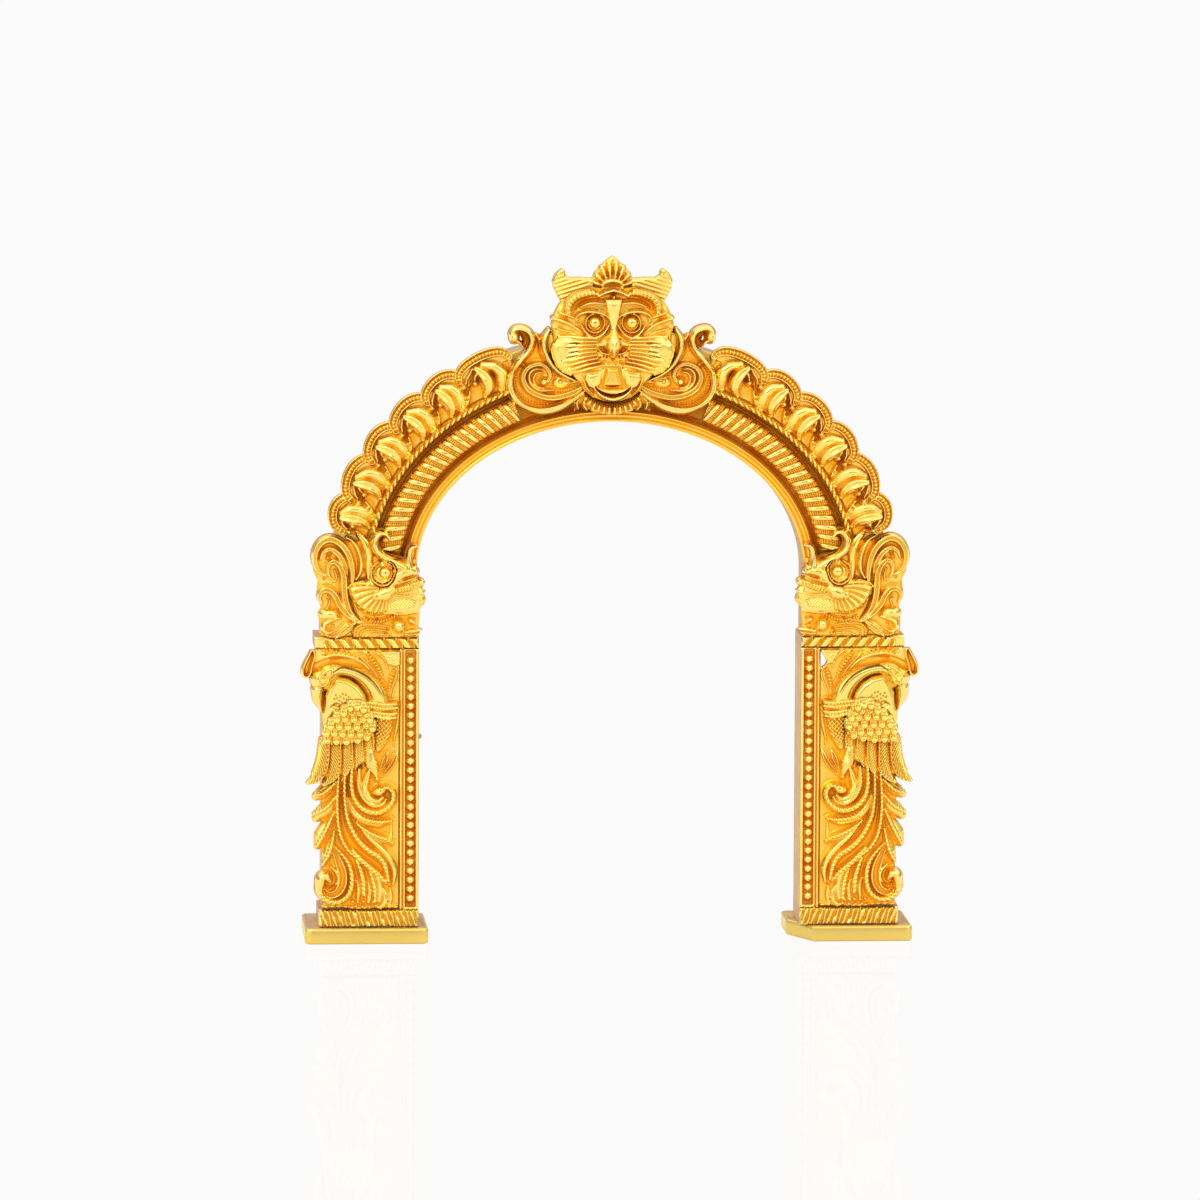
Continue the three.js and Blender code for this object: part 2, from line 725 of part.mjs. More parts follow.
// The scalloped edge: lobes like overlapping scales, each leaning towards the apex.
function cuspedBorder() {
  const starts = lobeStarts();
  const outer = [];
  LOBE_SHARES.forEach((_, i) => {
    const length = starts[i + 1] - starts[i];
    for (let k = 0; k < LOBE_STEPS; k += 1) {
      const t = k / LOBE_STEPS;
      const leaning = t < LOBE_LEAN ? (0.5 * t) / LOBE_LEAN : 0.5 + (0.5 * (t - LOBE_LEAN)) / (1 - LOBE_LEAN);
      const rise = Math.sqrt(Math.sin(Math.PI * leaning));
      outer.push(archAt(starts[i] + t * length, BORDER_VALLEY + (BORDER_PEAK - BORDER_VALLEY) * rise));
    }
  });
  const end = starts[starts.length - 1];
  outer.push(archAt(end, BORDER_VALLEY));
  const inner = [];
  const steps = 12;
  for (let i = 0; i <= steps; i += 1) {
    inner.push(archAt(end + ((BORDER_START - end) * i) / steps, BORDER_INNER));
  }
  return plate([...outer, ...inner], ARCH_FRONT, ARCH_FRONT - BORDER_THICKNESS);
}

// Peacock, from the inner top corner of its pillar

function fromPillarTop(points) {
  return moved(points, PILLAR_INNER, PILLAR_TOP);
}

function peacockBody() {
  const back = PILLAR_FRONT;
  const ground = plate(fromPillarTop([
    [4.1, -11.3], [3.8, -9.1], [5.3, -7.9], [5.9, -5.6], [7.3, -3.6], [9.7, -2.4], [13.7, -2.3],
    [16.7, -3.1], [18.5, -4.5], [18.6, -6.1], [17.6, -6.9], [16.3, -9.0], [9.6, -9.0], [8.1, -9.6],
    [7.9, -11.7], [7.9, -17.4], [7.4, -18.2], [5.1, -18.2], [4.1, -14.9],
  ]), back, back - 1.2);
  const high = PEACOCK_HEIGHT;
  const neck = fromPillarTop([[16.6, -4.4], [14.6, -3.5], [12.1, -3.4], [10, -4.1], [8, -5.7], [6.9, -7.4], [6.2, -9.1]]);
  const body = fromPillarTop([[6, -10.9], [5.9, -13.9], [6.2, -16], [6.6, -17.7]]);
  const collar = fromPillarTop([[8, -9.6], [6, -9.4], [3.9, -9.6]]);
  const bud = fromPillarTop([[5.2, -17.6], [6, -19.7], [6.9, -21.7]]);
  const beak = fromPillarTop([[17.9, -6.0], [17.8, -8.2], [17.1, -10.4]]);
  return cut(joined([
    ground,
    strand(neck, [0.9, 0.95, 1.1, 1.3], high * 0.8, back, 7),
    dome(PILLAR_INNER + 17, PILLAR_TOP - 5.1, 1.8, high, back, 8),
    strand(beak, [0.7, 0.6, 0.25], high * 0.55, back, 3),
    strand(collar, [0.9, 1.0, 0.9], high * 0.9, back, 3),
    strand(body, [1.8, 1.8, 1.6, 0.9], high * 0.85, back, 4),
    strand(bud, [0.5, 0.7, 0.3], high * 0.5, back, 3),
  ]), [rivetHole(...PEACOCK_RIVET, PILLAR_FRONT)]);
}

function peacockWing() {
  const back = PILLAR_FRONT;
  const coverts = plate(fromPillarTop([
    [16.3, -15.4], [16.1, -13.6], [15.2, -11.6], [13.4, -10.0], [10.9, -9.4], [9.1, -10.0], [8.6, -11.8],
    [8.5, -15.4], [12, -16.4],
  ]), back, back - 1.4);
  const high = WING_HEIGHT;
  const primaries = [
    [[15.2, -12.6], [16.8, -17.7], [17.8, -20.6], [19.5, -23.2]],
    [[13.6, -12.4], [14.5, -18.3], [15.1, -21.1], [16.5, -23.4]],
    [[12.2, -12.4], [12.4, -18.3], [12.8, -20.9], [13.8, -22.7]],
    [[10.9, -12.6], [10.7, -17.5], [10.9, -19.6], [11.3, -21.1]],
    [[9.7, -12.8], [9.4, -16.8], [9.5, -18.6], [9.7, -19.8]],
  ];
  const pieces = [coverts, dome(PILLAR_INNER + 12.2, PILLAR_TOP - 12.6, 3.1, high, back, 8)];
  primaries.forEach((points, i) => {
    const height = high * (0.9 - 0.12 * i);
    pieces.push(strand(fromPillarTop(points), [0.7, 0.95, 0.95, 0.3], height, back, 5));
  });
  return joined(pieces);
}

// The crest loop and the leaf spray between the neck and the capital.
function crestSpray() {
  const back = PILLAR_FRONT;
  const ground = plate(fromPillarTop([
    [9.2, -0.3], [9.0, -1.7], [13.7, -1.9], [16.9, -2.7], [18.6, -1.9], [18.7, -0.5],
  ]), back, back - 0.8);
  const loop = fromPillarTop([[17.6, -0.7], [19, -0.6], [19.8, -1.5], [20.2, -2.9], [20, -4.1]]);
  const leaves = [
    [[9.6, -0.9], [7.9, -1.7], [6.7, -3.2]],
    [[9.6, -1.2], [11.4, -0.8], [13, -1.4]],
    [[12.2, -1.2], [14, -0.8], [15.6, -1.5]],
    [[14.9, -1.2], [16.6, -0.8], [18, -1.5]],
  ];
  return joined([
    ground,
    strand(loop, [0.5, 0.55, 0.55, 0.35], PEACOCK_HEIGHT * 0.6, back, 6),
    ...leaves.map((points) => strand(fromPillarTop(points), [0.3, 0.45, 0.25], PEACOCK_HEIGHT * 0.45, back, 3)),
  ]);
}

// Fits the tail, drawn at its own length, between the peacock and the plinth.
function downTail(points) {
  const stretch = (PILLAR_HEIGHT - TAIL_BELOW_TOP - TAIL_ABOVE_PLINTH) / TAIL_DRAWN_LENGTH;
  return fromPillarTop(points.map(([x, z]) => [x, -TAIL_BELOW_TOP + (z + TAIL_BELOW_TOP) * stretch]));
}

// The falling tail: plumes and volutes over a thin ground.
function tailPlumes() {
  const back = PILLAR_FRONT;
  const ground = plate(downTail([
    [3.7, -24.4], [14.6, -24.4], [15.9, -28.5], [15.9, -35.5], [16.4, -41.5], [16.2, -45.1], [3.7, -45.1],
  ]), back, back - 0.6);
  const plumes = [
    { points: [[14, -24.3], [14.2, -28.1], [13.9, -32.1], [12.6, -34.5], [10.6, -37.6], [9.6, -40.2], [9.8, -44.2]], half: 0.65 },
    { points: [[12.7, -24.3], [12.8, -28.1], [11.6, -31.9], [9.8, -34.3], [7.4, -36.1], [5.6, -38.3], [5, -42.4]], half: 0.65 },
    { points: [[11.6, -24.3], [11.3, -25.5], [10, -27.5], [8.2, -28.4], [6.2, -27.8], [5, -26.3], [5.1, -25]], half: 0.6 },
    { points: [[11.5, -26.9], [10.6, -28.7], [8.6, -30], [5, -30.3]], half: 0.6 },
    { points: [[10.8, -30.3], [9, -31.9], [7, -33.1], [4.6, -34]], half: 0.6 },
    { points: [[12.6, -36.3], [11.8, -38.7], [11.9, -41.9], [13.2, -43.5], [15, -43.9], [16.7, -42.7], [17.2, -40.5]], half: 0.6 },
    { points: [[10.4, -35.6], [8.6, -37.8], [6.9, -43.4]], half: 0.6 },
    { points: [[14.6, -24.8], [16.8, -24.9], [18.5, -25.9]], half: 0.55 },
    { points: [[14.4, -26.4], [16.4, -27.3], [18.3, -28.9]], half: 0.6 },
    { points: [[14.7, -29], [16.6, -31.9], [17.9, -34.7]], half: 0.7 },
    { points: [[14.4, -33], [15.6, -35.7], [16.6, -37.9]], half: 0.65 },
  ];
  return joined([
    ground,
    ...plumes.map(({ points, half }) => strand(
      downTail(points),
      [half * 0.8, half, half, half * 0.45],
      TAIL_HEIGHT,
      back,
      points.length - 1,
    )),
    ...downTail([[7.6, -25.9], [14.6, -41.2]]).map(([x, z]) => dome(x, z, 0.9, TAIL_HEIGHT, back)),
  ]);
}

// Water beast and its plume, from the springing of the arch

function fromSpringing(points) {
  return moved(points, HALF_SPAN, SPRINGING);
}

function beastHead() {
  const back = ARCH_FRONT;
  const high = BEAST_HEIGHT;
  const low = SEAT_GAP - LEG_HEIGHT;
  const ground = plate(fromSpringing([
    [0, low], [9.2, low], [9.6, -7], [10.4, -5.2], [10.7, -1.4], [9.3, -0.8], [8.9, 1.1], [7.8, 2.5],
    [4.6, 2.5], [0.3, 2.1], [-0.9, -0.2], [-1.5, -2.6], [0, -3.9],
  ]), back, back - 1.4);
  const strands = [
    { points: [[1.9, 1.2], [3.7, 2.2], [5.8, 3.5], [7.2, 5.5], [7, 7], [5.9, 7.5]], half: 0.95, rise: 0.95 },
    { points: [[2.2, 1.0], [1.2, 3], [0.7, 5.1]], half: 0.55, rise: 0.7 },
    { points: [[-0.8, -2.2], [1.6, -1.5], [4.6, -1.0]], half: 0.9, rise: 0.9 },
    { points: [[-1, -3], [1, -4.1], [4.1, -4.4]], half: 0.7, rise: 0.8 },
    { points: [[5.8, -2.6], [8.2, -2.1], [10.1, -2.2]], half: 0.7, rise: 0.75 },
    { points: [[5.8, -3.6], [8.4, -4.1], [10.1, -4.9]], half: 0.75, rise: 0.7 },
    { points: [[5.6, -4.5], [7.2, -5.5], [8.4, -6.4]], half: 0.75, rise: 0.65 },
    { points: [[0.6, -5.4], [4.1, -6.7], [6.9, -7.9], [8.9, -8.6]], half: 0.9, rise: 0.6 },
    { points: [[1, -9.6], [4.6, -9.9], [8.6, -9.4]], half: 0.7, rise: 0.5 },
  ];
  return cut(joined([
    ground,
    ...strands.map(({ points, half, rise }) => strand(
      fromSpringing(points),
      [half * 0.7, half, half, half * 0.6],
      high * rise,
      back,
      points.length - 1,
    )),
    dome(HALF_SPAN + 5.7, SPRINGING + 0.5, 1.9, high * 0.8, back, 8),
    dome(HALF_SPAN + 5.7, SPRINGING + 0.5, 1.1, high, back, 8),
    dome(HALF_SPAN + 5.8, SPRINGING - 3.1, 1.3, high * 0.95, back, 8),
    dome(HALF_SPAN + 2.9, SPRINGING - 8.4, 1.5, high * 0.8, back, 8),
  ]), [rivetHole(...BEAST_RIVET, ARCH_FRONT)]);
}

function beastPlume() {
  const back = ARCH_FRONT;
  const low = SEAT_GAP - LEG_HEIGHT;
  const ground = plate(fromSpringing([
    [9.6, low], [15.1, low], [15.3, -4.4], [16.9, -1.4], [17.3, 4], [16, 6.3], [13.2, 6.3], [11.4, 4.6],
    [11, 1.4], [11.7, -1.8], [11.4, -5], [9.9, -8.2],
  ]), back, back - 1.0);
  const plumes = [
    { points: [[10.5, -8], [12, -4.8], [12.3, -1.8], [11.7, 1.2], [11.7, 4], [12.8, 6], [14.6, 6.7], [16.4, 6.1], [17.4, 4], [17.1, 1.8]], half: 0.75 },
    { points: [[11.4, -7.8], [13.1, -5], [13.6, -1.8], [13.1, 0.6], [13.7, 2.4], [14.9, 2.8], [15.7, 1.8], [15.4, 0.4]], half: 0.65 },
    { points: [[12.6, -7.8], [14.1, -5.8], [14.9, -3.6], [15.9, -2.7], [16.8, -3.4], [16.4, -4.5]], half: 0.65 },
    { points: [[11.2, -9.6], [12.8, -9.2], [14.9, -8]], half: 0.7 },
  ];
  return joined([
    ground,
    ...plumes.map(({ points, half }) => strand(
      fromSpringing(points),
      [half * 0.8, half, half, half * 0.7],
      PLUME_HEIGHT,
      back,
      points.length,
    )),
  ]);
}

// Mask, crown, horns, beard and scrolls, from the apex of the opening

function fromApex(points) {
  return moved(points, 0, APEX);
}

function bothSides(points) {
  const far = points.filter(([x]) => x > 0).reverse().map(([x, z]) => [-x, z]);
  return [...points, ...far];
}

function lionMask() {
  const back = ARCH_FRONT;
  const front = back - MASK_THICKNESS;
  const face = plate(fromApex(bothSides([
    [0, 23.6], [2.6, 23.6], [5, 23.2], [7, 22.2], [8.3, 20.4], [10.4, 18.1], [10.1, 15.5], [10.1, 12.7],
    [8.9, 10.1], [7.4, 8.8], [5.9, 7.8], [4.6, 6.2], [3.1, 4.7], [0, 3.9],
  ])), back, front);
  const seat = front + SEAT_GAP;
  const rise = MASK_HEIGHT - MASK_THICKNESS + SEAT_GAP;
  const features = [
    { points: [[2.2, 22.7], [4.6, 22.6], [6.7, 21.4], [7.6, 19]], half: 0.9, rise: 0.55 },
    { points: [[1.2, 17.6], [2.6, 19], [4.4, 18.9], [5.7, 17.2]], half: 0.4, rise: 0.45 },
    { points: [[3.6, 13.7], [6.8, 14.6], [9.8, 14.7]], half: 0.6, rise: 0.62 },
    { points: [[3.6, 12.9], [6.8, 13], [9.8, 12.7]], half: 0.6, rise: 0.66 },
    { points: [[3.5, 12.1], [6.4, 11.5], [9, 10.9]], half: 0.6, rise: 0.62 },
    { points: [[3.3, 11.2], [5.6, 10], [7.4, 9.4]], half: 0.55, rise: 0.5 },
    { points: [[3, 9.4], [3.5, 7.9], [2.6, 6.4]], half: 0.8, rise: 0.5 },
  ];
  const pieces = [face];
  for (const side of [-1, 1]) {
    for (const feature of features) {
      pieces.push(strand(
        fromApex(feature.points.map(([x, z]) => [side * x, z])),
        [feature.half * 0.7, feature.half, feature.half, feature.half * 0.5],
        rise * feature.rise,
        seat,
        feature.points.length - 1,
      ));
    }
    pieces.push(dome(side * 3.3, APEX + 17.4, 1.5, rise * 0.4, seat, 8));
    pieces.push(dome(side * 3.3, APEX + 17.4, 0.95, rise * 0.55, seat, 8));
    pieces.push(dome(side * 5.4, APEX + 14.9, 2.4, rise * 0.5, seat, 8));
    pieces.push(dome(side * 1.9, APEX + 13.4, 1.1, rise * 0.8, seat, 8));
  }
  pieces.push(strand(fromApex([[0, 21.8], [0, 17.2], [0, 12.6]]), [1.1, 0.6, 1.3], rise * 0.75, seat, 4));
  pieces.push(dome(0, APEX + 13.3, 1.3, rise, seat, 8));
  pieces.push(strand(fromApex([[-3.1, 6.3], [-1.9, 5], [0, 4.5], [1.9, 5], [3.1, 6.3]]), [0.3, 0.5, 0.3], rise * 0.4, seat, 6));
  pieces.push(strand(fromApex([[0, 10.6], [0, 6.6]]), [1.3, 1.1], rise * 0.25, seat, 1));
  return cut(joined(pieces), [
    rivetHole(MASK_RIVET[0], MASK_RIVET[1], ARCH_FRONT),
    rivetHole(-MASK_RIVET[0], MASK_RIVET[1], ARCH_FRONT),
  ]);
}

// A leaf that fans upward, with a tang behind the mask.
function crownLeaf() {
  const back = ARCH_FRONT;
  const leaf = plate(fromApex(bothSides([
    [0, 28.9], [0.8, 28], [1.9, 27.7], [2.2, 26.7], [3.2, 26.2], [3.2, 25.1], [3.8, 24.4], [3.2, 23.7],
  ])), back, back - CROWN_THICKNESS);
  const tang = plate(fromApex(bothSides([
    [2.2, 25.4], [2.2, 19.4],
  ])), back + TANG_THICKNESS, back);
  const petals = [-60, -30, 0, 30, 60].map((degrees) => {
    const angle = THREE.MathUtils.degToRad(degrees);
    const end = [3.2 * Math.sin(angle), 24.6 + 3.4 * Math.cos(angle)];
    return strand(fromApex([[0, 24.6], end]), [0.5, 0.35], CROWN_THICKNESS + 0.7, back, 2);
  });
  return joined([
    leaf,
    tang,
    ...petals,
    dome(0, APEX + 24.9, 1.1, CROWN_THICKNESS + 1.4, back, 8),
  ]);
}

function horn() {
  const back = ARCH_FRONT;
  const body = plate(fromApex([
    [7.5, 22.5], [8.3, 23.9], [9, 26.6], [10, 25.6], [10.4, 24.1], [10, 22.4], [9.3, 20.9], [8.7, 20.9],
  ]), back, back - HORN_THICKNESS);
  const tang = plate(fromApex([
    [8.8, 23], [5.4, 21.8], [5.8, 20], [9, 21.2],
  ]), back + TANG_THICKNESS, back);
  const ridges = [0, 1, 2].map((i) => strand(
    fromApex([[8.3 + 0.2 * i, 23 + i * 0.8], [9.9 - 0.15 * i, 22.4 + i * 1.2]]),
    [0.3, 0.3],
    HORN_THICKNESS + 0.5,
    back,
    1,
  ));
  return joined([body, tang, ...ridges]);
}

function beard() {
  const face = ARCH_FRONT - LIP_HEIGHT;
  return strand(fromApex([
    [-5.4, 5.2], [-3.9, 3.4], [-2.1, 2.4], [0, 2], [2.1, 2.4], [3.9, 3.4], [5.4, 5.2],
  ]), [0.4, 0.75, 0.8, 0.75, 0.4], BEARD_HEIGHT, face, 8);
}

function sideScroll() {
  const back = ARCH_FRONT;
  const ground = plate(fromApex([
    [11.7, 15.2], [13, 15.5], [14.9, 15], [17.5, 13.6], [18.3, 10.5], [19, 7.6], [18.2, 4.8], [15.5, 2.5],
    [11.6, 2], [8.2, 2.6], [6.4, 4.2], [7, 7], [9, 8.3], [10.6, 10.6], [11.4, 13],
  ]), back, back - 0.9);
  const strands = [
    { points: [[16, 13.8], [17.3, 10.8], [18, 7.8], [17.4, 5.2], [15.1, 3.3], [11.6, 2.8], [8.4, 3.5], [6.9, 4.6]], half: 0.85 },
    { points: [[7.2, 6.3], [8.7, 5.1], [11.2, 4.8], [13.8, 5.8], [14.9, 7.7], [14.1, 9.4], [12.5, 9.8], [11.3, 8.7], [11.7, 7.3]], half: 0.55 },
    { points: [[12.6, 14.9], [12.2, 13], [11.4, 10.9], [9.8, 8.9], [7.9, 7.6]], half: 0.65 },
    { points: [[12.6, 14.9], [14, 12.5], [15.7, 10.5], [16.3, 7.8], [15.5, 5.7]], half: 0.5 },
  ];
  return joined([
    ground,
    ...strands.map(({ points, half }) => strand(
      fromApex(points),
      [half * 0.8, half, half, half * 0.7],
      SCROLL_HEIGHT,
      back,
      points.length,
    )),
    dome(16.4, APEX + 14.5, 1.9, SCROLL_HEIGHT, back, 8),
    dome(12.6, APEX + 14.9, 1.2, SCROLL_HEIGHT, back, 8),
    dome(12.3, APEX + 7.2, 0.8, SCROLL_HEIGHT, back, 8),
    dome(9.4, APEX + 6.8, 0.6, SCROLL_HEIGHT * 0.6, back, 6),
  ]);
}

// Gate and flash remains that the polishing left on the shells
function nub(x, y, z, reach) {
  const size = new THREE.SphereGeometry(NUB_RADIUS, 8, 6);
  return size.scale(reach / NUB_RADIUS, 1, 1).translate(x, y, z);
}

function archNubs() {
  const low = archAt(20.4, 0);
  const spur = archAt(22.2, ARCH_WIDTH);
  return [
    nub(-low[0], (ARCH_FRONT + FRAME_BACK) / 2 - 3, low[1], NUB_REACH),
    nub(spur[0], ARCH_FRONT + 2, spur[1], NUB_REACH),
  ];
}

// Assembly

function gold(roughness) {
  return new THREE.MeshStandardMaterial({ color: 0xe8b23a, metalness: 1, roughness });
}

const aureole = new THREE.Group();

function add(name, geometry, roughness = 0.2) {
  const mesh = new THREE.Mesh(geometry, gold(roughness));
  mesh.name = name;
  aureole.add(mesh);
}

const paired = {
  plinth: plinth(),
  capital: capital(),
  bead_strip: beadStrip(),
  peacock_body: peacockBody(),
  peacock_wing: peacockWing(),
  crest_spray: crestSpray(),
  tail_plumes: tailPlumes(),
  beast_head: beastHead(),
  beast_plume: beastPlume(),
  ribbed_roll: ribbedRoll(),
  rope_moulding: ropeMoulding(),
  vine_band: vineBand(),
  cusped_border: cuspedBorder(),
  mask_horn: horn(),
  side_scroll: sideScroll(),
  foot_screw: footScrew(),
  leg_dowel: dowel(),
  peacock_rivet: rivet(...PEACOCK_RIVET, PILLAR_FRONT),
  beast_rivet: rivet(...BEAST_RIVET, ARCH_FRONT),
  mask_rivet: rivet(...MASK_RIVET, ARCH_FRONT),
};

const legNub = nub(PILLAR_INNER, (PILLAR_FRONT + FRAME_BACK) / 2 - 3, PILLAR_TOP - 15.6, NUB_REACH);
add('right_foot_plate', footPlate(true), 0.3);
add('left_foot_plate', mirrored(footPlate(false)), 0.3);
add('right_pillar_shell', pillarShell(true, []));
add('left_pillar_shell', mirrored(pillarShell(false, [legNub])));
for (const [name, geometry] of Object.entries(paired)) {
  add(`right_${name}`, geometry);
  add(`left_${name}`, mirrored(geometry));
}
add('arch_shell', archShell(archNubs()));
add('lion_mask', lionMask());
add('crown_leaf', crownLeaf());
add('beard_ring', beard());

export default aureole;
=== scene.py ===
"""Dresses a small gold-plated shrine arch over its CAD frame.

Cast relief goes over the pillars, the arch, the beasts and the mask, and a stage round them. Drawn
points are flat rows of x, z, x, z in millimetres, with x outward from the middle of the arch and z
up, on the half where x is positive. The other half is its image. The front is towards -Y.
"""

import math

import bpy
import numpy as np
from mathutils import Matrix, Vector


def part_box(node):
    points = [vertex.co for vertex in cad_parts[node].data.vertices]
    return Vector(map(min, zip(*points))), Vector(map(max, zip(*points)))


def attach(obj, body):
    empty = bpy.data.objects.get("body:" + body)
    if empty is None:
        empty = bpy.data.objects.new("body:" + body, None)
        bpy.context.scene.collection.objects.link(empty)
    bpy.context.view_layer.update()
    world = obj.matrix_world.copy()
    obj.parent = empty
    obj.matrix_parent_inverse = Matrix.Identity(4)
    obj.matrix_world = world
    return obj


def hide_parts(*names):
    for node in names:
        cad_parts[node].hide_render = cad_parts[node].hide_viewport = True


bl_info = {
    "name": "Shrine arch",
    "version": (1, 0, 0),
    "blender": (4, 5, 0),
    "location": "View3D > Sidebar > Shrine Arch",
    "description": "Builds the relief, mouldings, gold finishes and stage of a shrine arch",
    "category": "Object",
}

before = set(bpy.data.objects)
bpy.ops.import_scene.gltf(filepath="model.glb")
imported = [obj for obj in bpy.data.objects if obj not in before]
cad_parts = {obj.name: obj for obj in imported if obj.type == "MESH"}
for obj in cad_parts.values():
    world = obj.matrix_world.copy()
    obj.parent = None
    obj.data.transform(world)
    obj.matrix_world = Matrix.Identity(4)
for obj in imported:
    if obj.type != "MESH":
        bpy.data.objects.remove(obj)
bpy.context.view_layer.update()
MM = 0.001


def edge(node, corner, axis):
    """Where a CAD node ends, in millimetres: corner 0 is its low end and 1 its high end."""
    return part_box(node)[corner][axis] / MM


# Levels and edges of the CAD frame, in millimetres
PILLAR_INNER = edge("right_pillar_shell", 0, 0)
PILLAR_FRONT = edge("right_pillar_shell", 0, 1)
PILLAR_BASE = edge("right_plinth", 1, 2)
PILLAR_TOP = edge("right_capital", 0, 2)
LEG_BASE = edge("right_capital", 1, 2)
FRAME_BACK = edge("arch_shell", 1, 1)
SHELL_WALL = 1.6
HALF_SPAN = PILLAR_INNER + 0.5
LEG_HEIGHT = 10.8
RISE = 26.7
SPRINGING = LEG_BASE + LEG_HEIGHT
APEX = SPRINGING + RISE
ARCH_FRONT = -4.0
ARCH_WIDTH = 14.6
OF_PILLAR = (PILLAR_INNER, PILLAR_TOP)
OF_SPRINGING = (HALF_SPAN, SPRINGING)
OF_APEX = (0.0, APEX)

# Reliefs that overlap have their backs this far apart, so that no two lie in one plane
LAYER = 0.05

# Step along a drawn curve, in millimetres, and how many distances are worked out in one go
CURVE_STEP = 0.13
CHUNK = 3_000_000


# Places on the arch, by the run from the springing and the offset outward from the opening
ELLIPSE_TURNS = np.linspace(0, math.pi / 2, 2001)
ELLIPSE_STEPS = np.hypot(
    np.diff(HALF_SPAN * np.cos(ELLIPSE_TURNS)), np.diff(RISE * np.sin(ELLIPSE_TURNS))
)
ELLIPSE_RUNS = np.concatenate([[0], np.cumsum(ELLIPSE_STEPS)])
QUARTER = ELLIPSE_RUNS[-1]


def on_arch(run, offset):
    """A point of the opening's half ellipse, moved outward along its normal by offset. Below the
    springing the path goes straight down."""
    run, offset = np.broadcast_arrays(np.asarray(run, float), np.asarray(offset, float))
    turn = np.interp(run, ELLIPSE_RUNS, ELLIPSE_TURNS)
    normal_x = np.cos(turn) / HALF_SPAN
    normal_z = np.sin(turn) / RISE
    length = np.hypot(normal_x, normal_z)
    x = HALF_SPAN * np.cos(turn) + normal_x / length * offset
    z = SPRINGING + RISE * np.sin(turn) + normal_z / length * offset + np.minimum(run, 0)
    return x, z


def arch_points(row):
    """The same as on_arch for drawn points, run and offset in turn."""
    return np.column_stack(on_arch(*np.reshape(row, (-1, 2)).T))


def both_sides(row):
    """A drawn right half, from its top down, joined with its image to one outline."""
    half = np.reshape(row, (-1, 2))
    return np.vstack([half, half[::-1] * (-1, 1)]).ravel()


# Shapes that a strand of relief may have across its width
# Each takes the share across, -1 to 1, and the run and half width in millimetres, and gives 0 to 1


def ease(value):
    """From 0 to 1 with soft ends: three times the square less twice the cube."""
    value = np.clip(value, 0, 1)
    return value * value * (3 - 2 * value)


def rounded(across, run, half):
    """Half a circle."""
    return np.sqrt(np.clip(1 - across * across, 0, 1))


def flat(across, run, half):
    """Level, with its last third of a millimetre rounded down."""
    return 0.25 + 0.75 * ease((1 - np.abs(across)) * half / 0.35)


def dished(across, run, half):
    """Two raised rims with a hollow between them."""
    rims = 0.5 + 0.5 * ease((np.abs(across) - 0.15) / 0.45)
    return ease((1 - np.abs(across)) * half / 0.22) * rims


def ridged(count, depth=0.3):
    """A half circle with ridges that follow its length."""
    return lambda across, run, half: rounded(across, run, half) * (
        1 - depth * (0.5 + 0.5 * np.cos(count * math.pi * (across + 1)))
    )


def barbed(pitch, slant=0.0, depth=0.3):
    """A half circle with grooves across it, which lean by slant millimetres for each millimetre
    across."""
    def form(across, run, half):
        wave = np.abs(np.sin(math.pi * (run + slant * across * half) / pitch)) ** 0.8
        return rounded(across, run, half) ** 0.8 * (1 - min(2.2 * depth, 0.68) * (1 - wave))
    return form


def feathered(pitch, slant):
    """A vane that falls from a raised rim on one side to the other, with barbs that run down from
    the rim."""
    def form(across, run, half):
        wave = np.abs(np.sin(math.pi * (run + slant * across * half) / pitch)) ** 0.7
        rim = np.exp(-(((across + 0.86) / 0.16) ** 2))
        body = rounded(across, run, half) ** 0.6 * (0.72 - 0.14 * across)
        return np.maximum(body * (0.62 + 0.38 * wave),
            rim * ease((1 - np.abs(across)) * half / 0.12))
    return form


def crested(pitch, width):
    """Smooth flanks up to a round crest of that half width, which is notched across."""
    def form(across, run, half):
        flank = 1 - np.abs(across) ** 2.4
        crest = np.sqrt(np.clip(1 - (across * half / width) ** 2, 0, 1))
        notch = np.abs(np.sin(math.pi * (run + 0.35 * across * half) / pitch)) ** 0.5
        return 0.7 * flank + 0.3 * crest**0.6 * (0.15 + 0.85 * notch)
    return form


def beaded(pitch, radius):
    """A row of balls on a low band."""
    def form(across, run, half):
        along = (run % pitch) - pitch / 2
        ball = np.sqrt(np.clip(1 - (along**2 + (across * half) ** 2) / radius**2, 0, 1))
        return np.maximum(0.35 * rounded(across, run, half), ball)
    return form


def scaled(pitch, depth=0.25):
    """A half circle covered by staggered bumps, the product of a wave along and a wave across."""
    def form(across, run, half):
        bumps = depth * np.cos(2 * math.pi * run / pitch)
        bumps = bumps * np.cos(2 * math.pi * across * half / pitch)
        return rounded(across, run, half) * (1 - depth + bumps)
    return form


def resampled(points, runs, places):
    """A line through points at those runs, read off at other places along it."""
    return np.column_stack([np.interp(places, runs, points[:, axis]) for axis in (0, 1)])


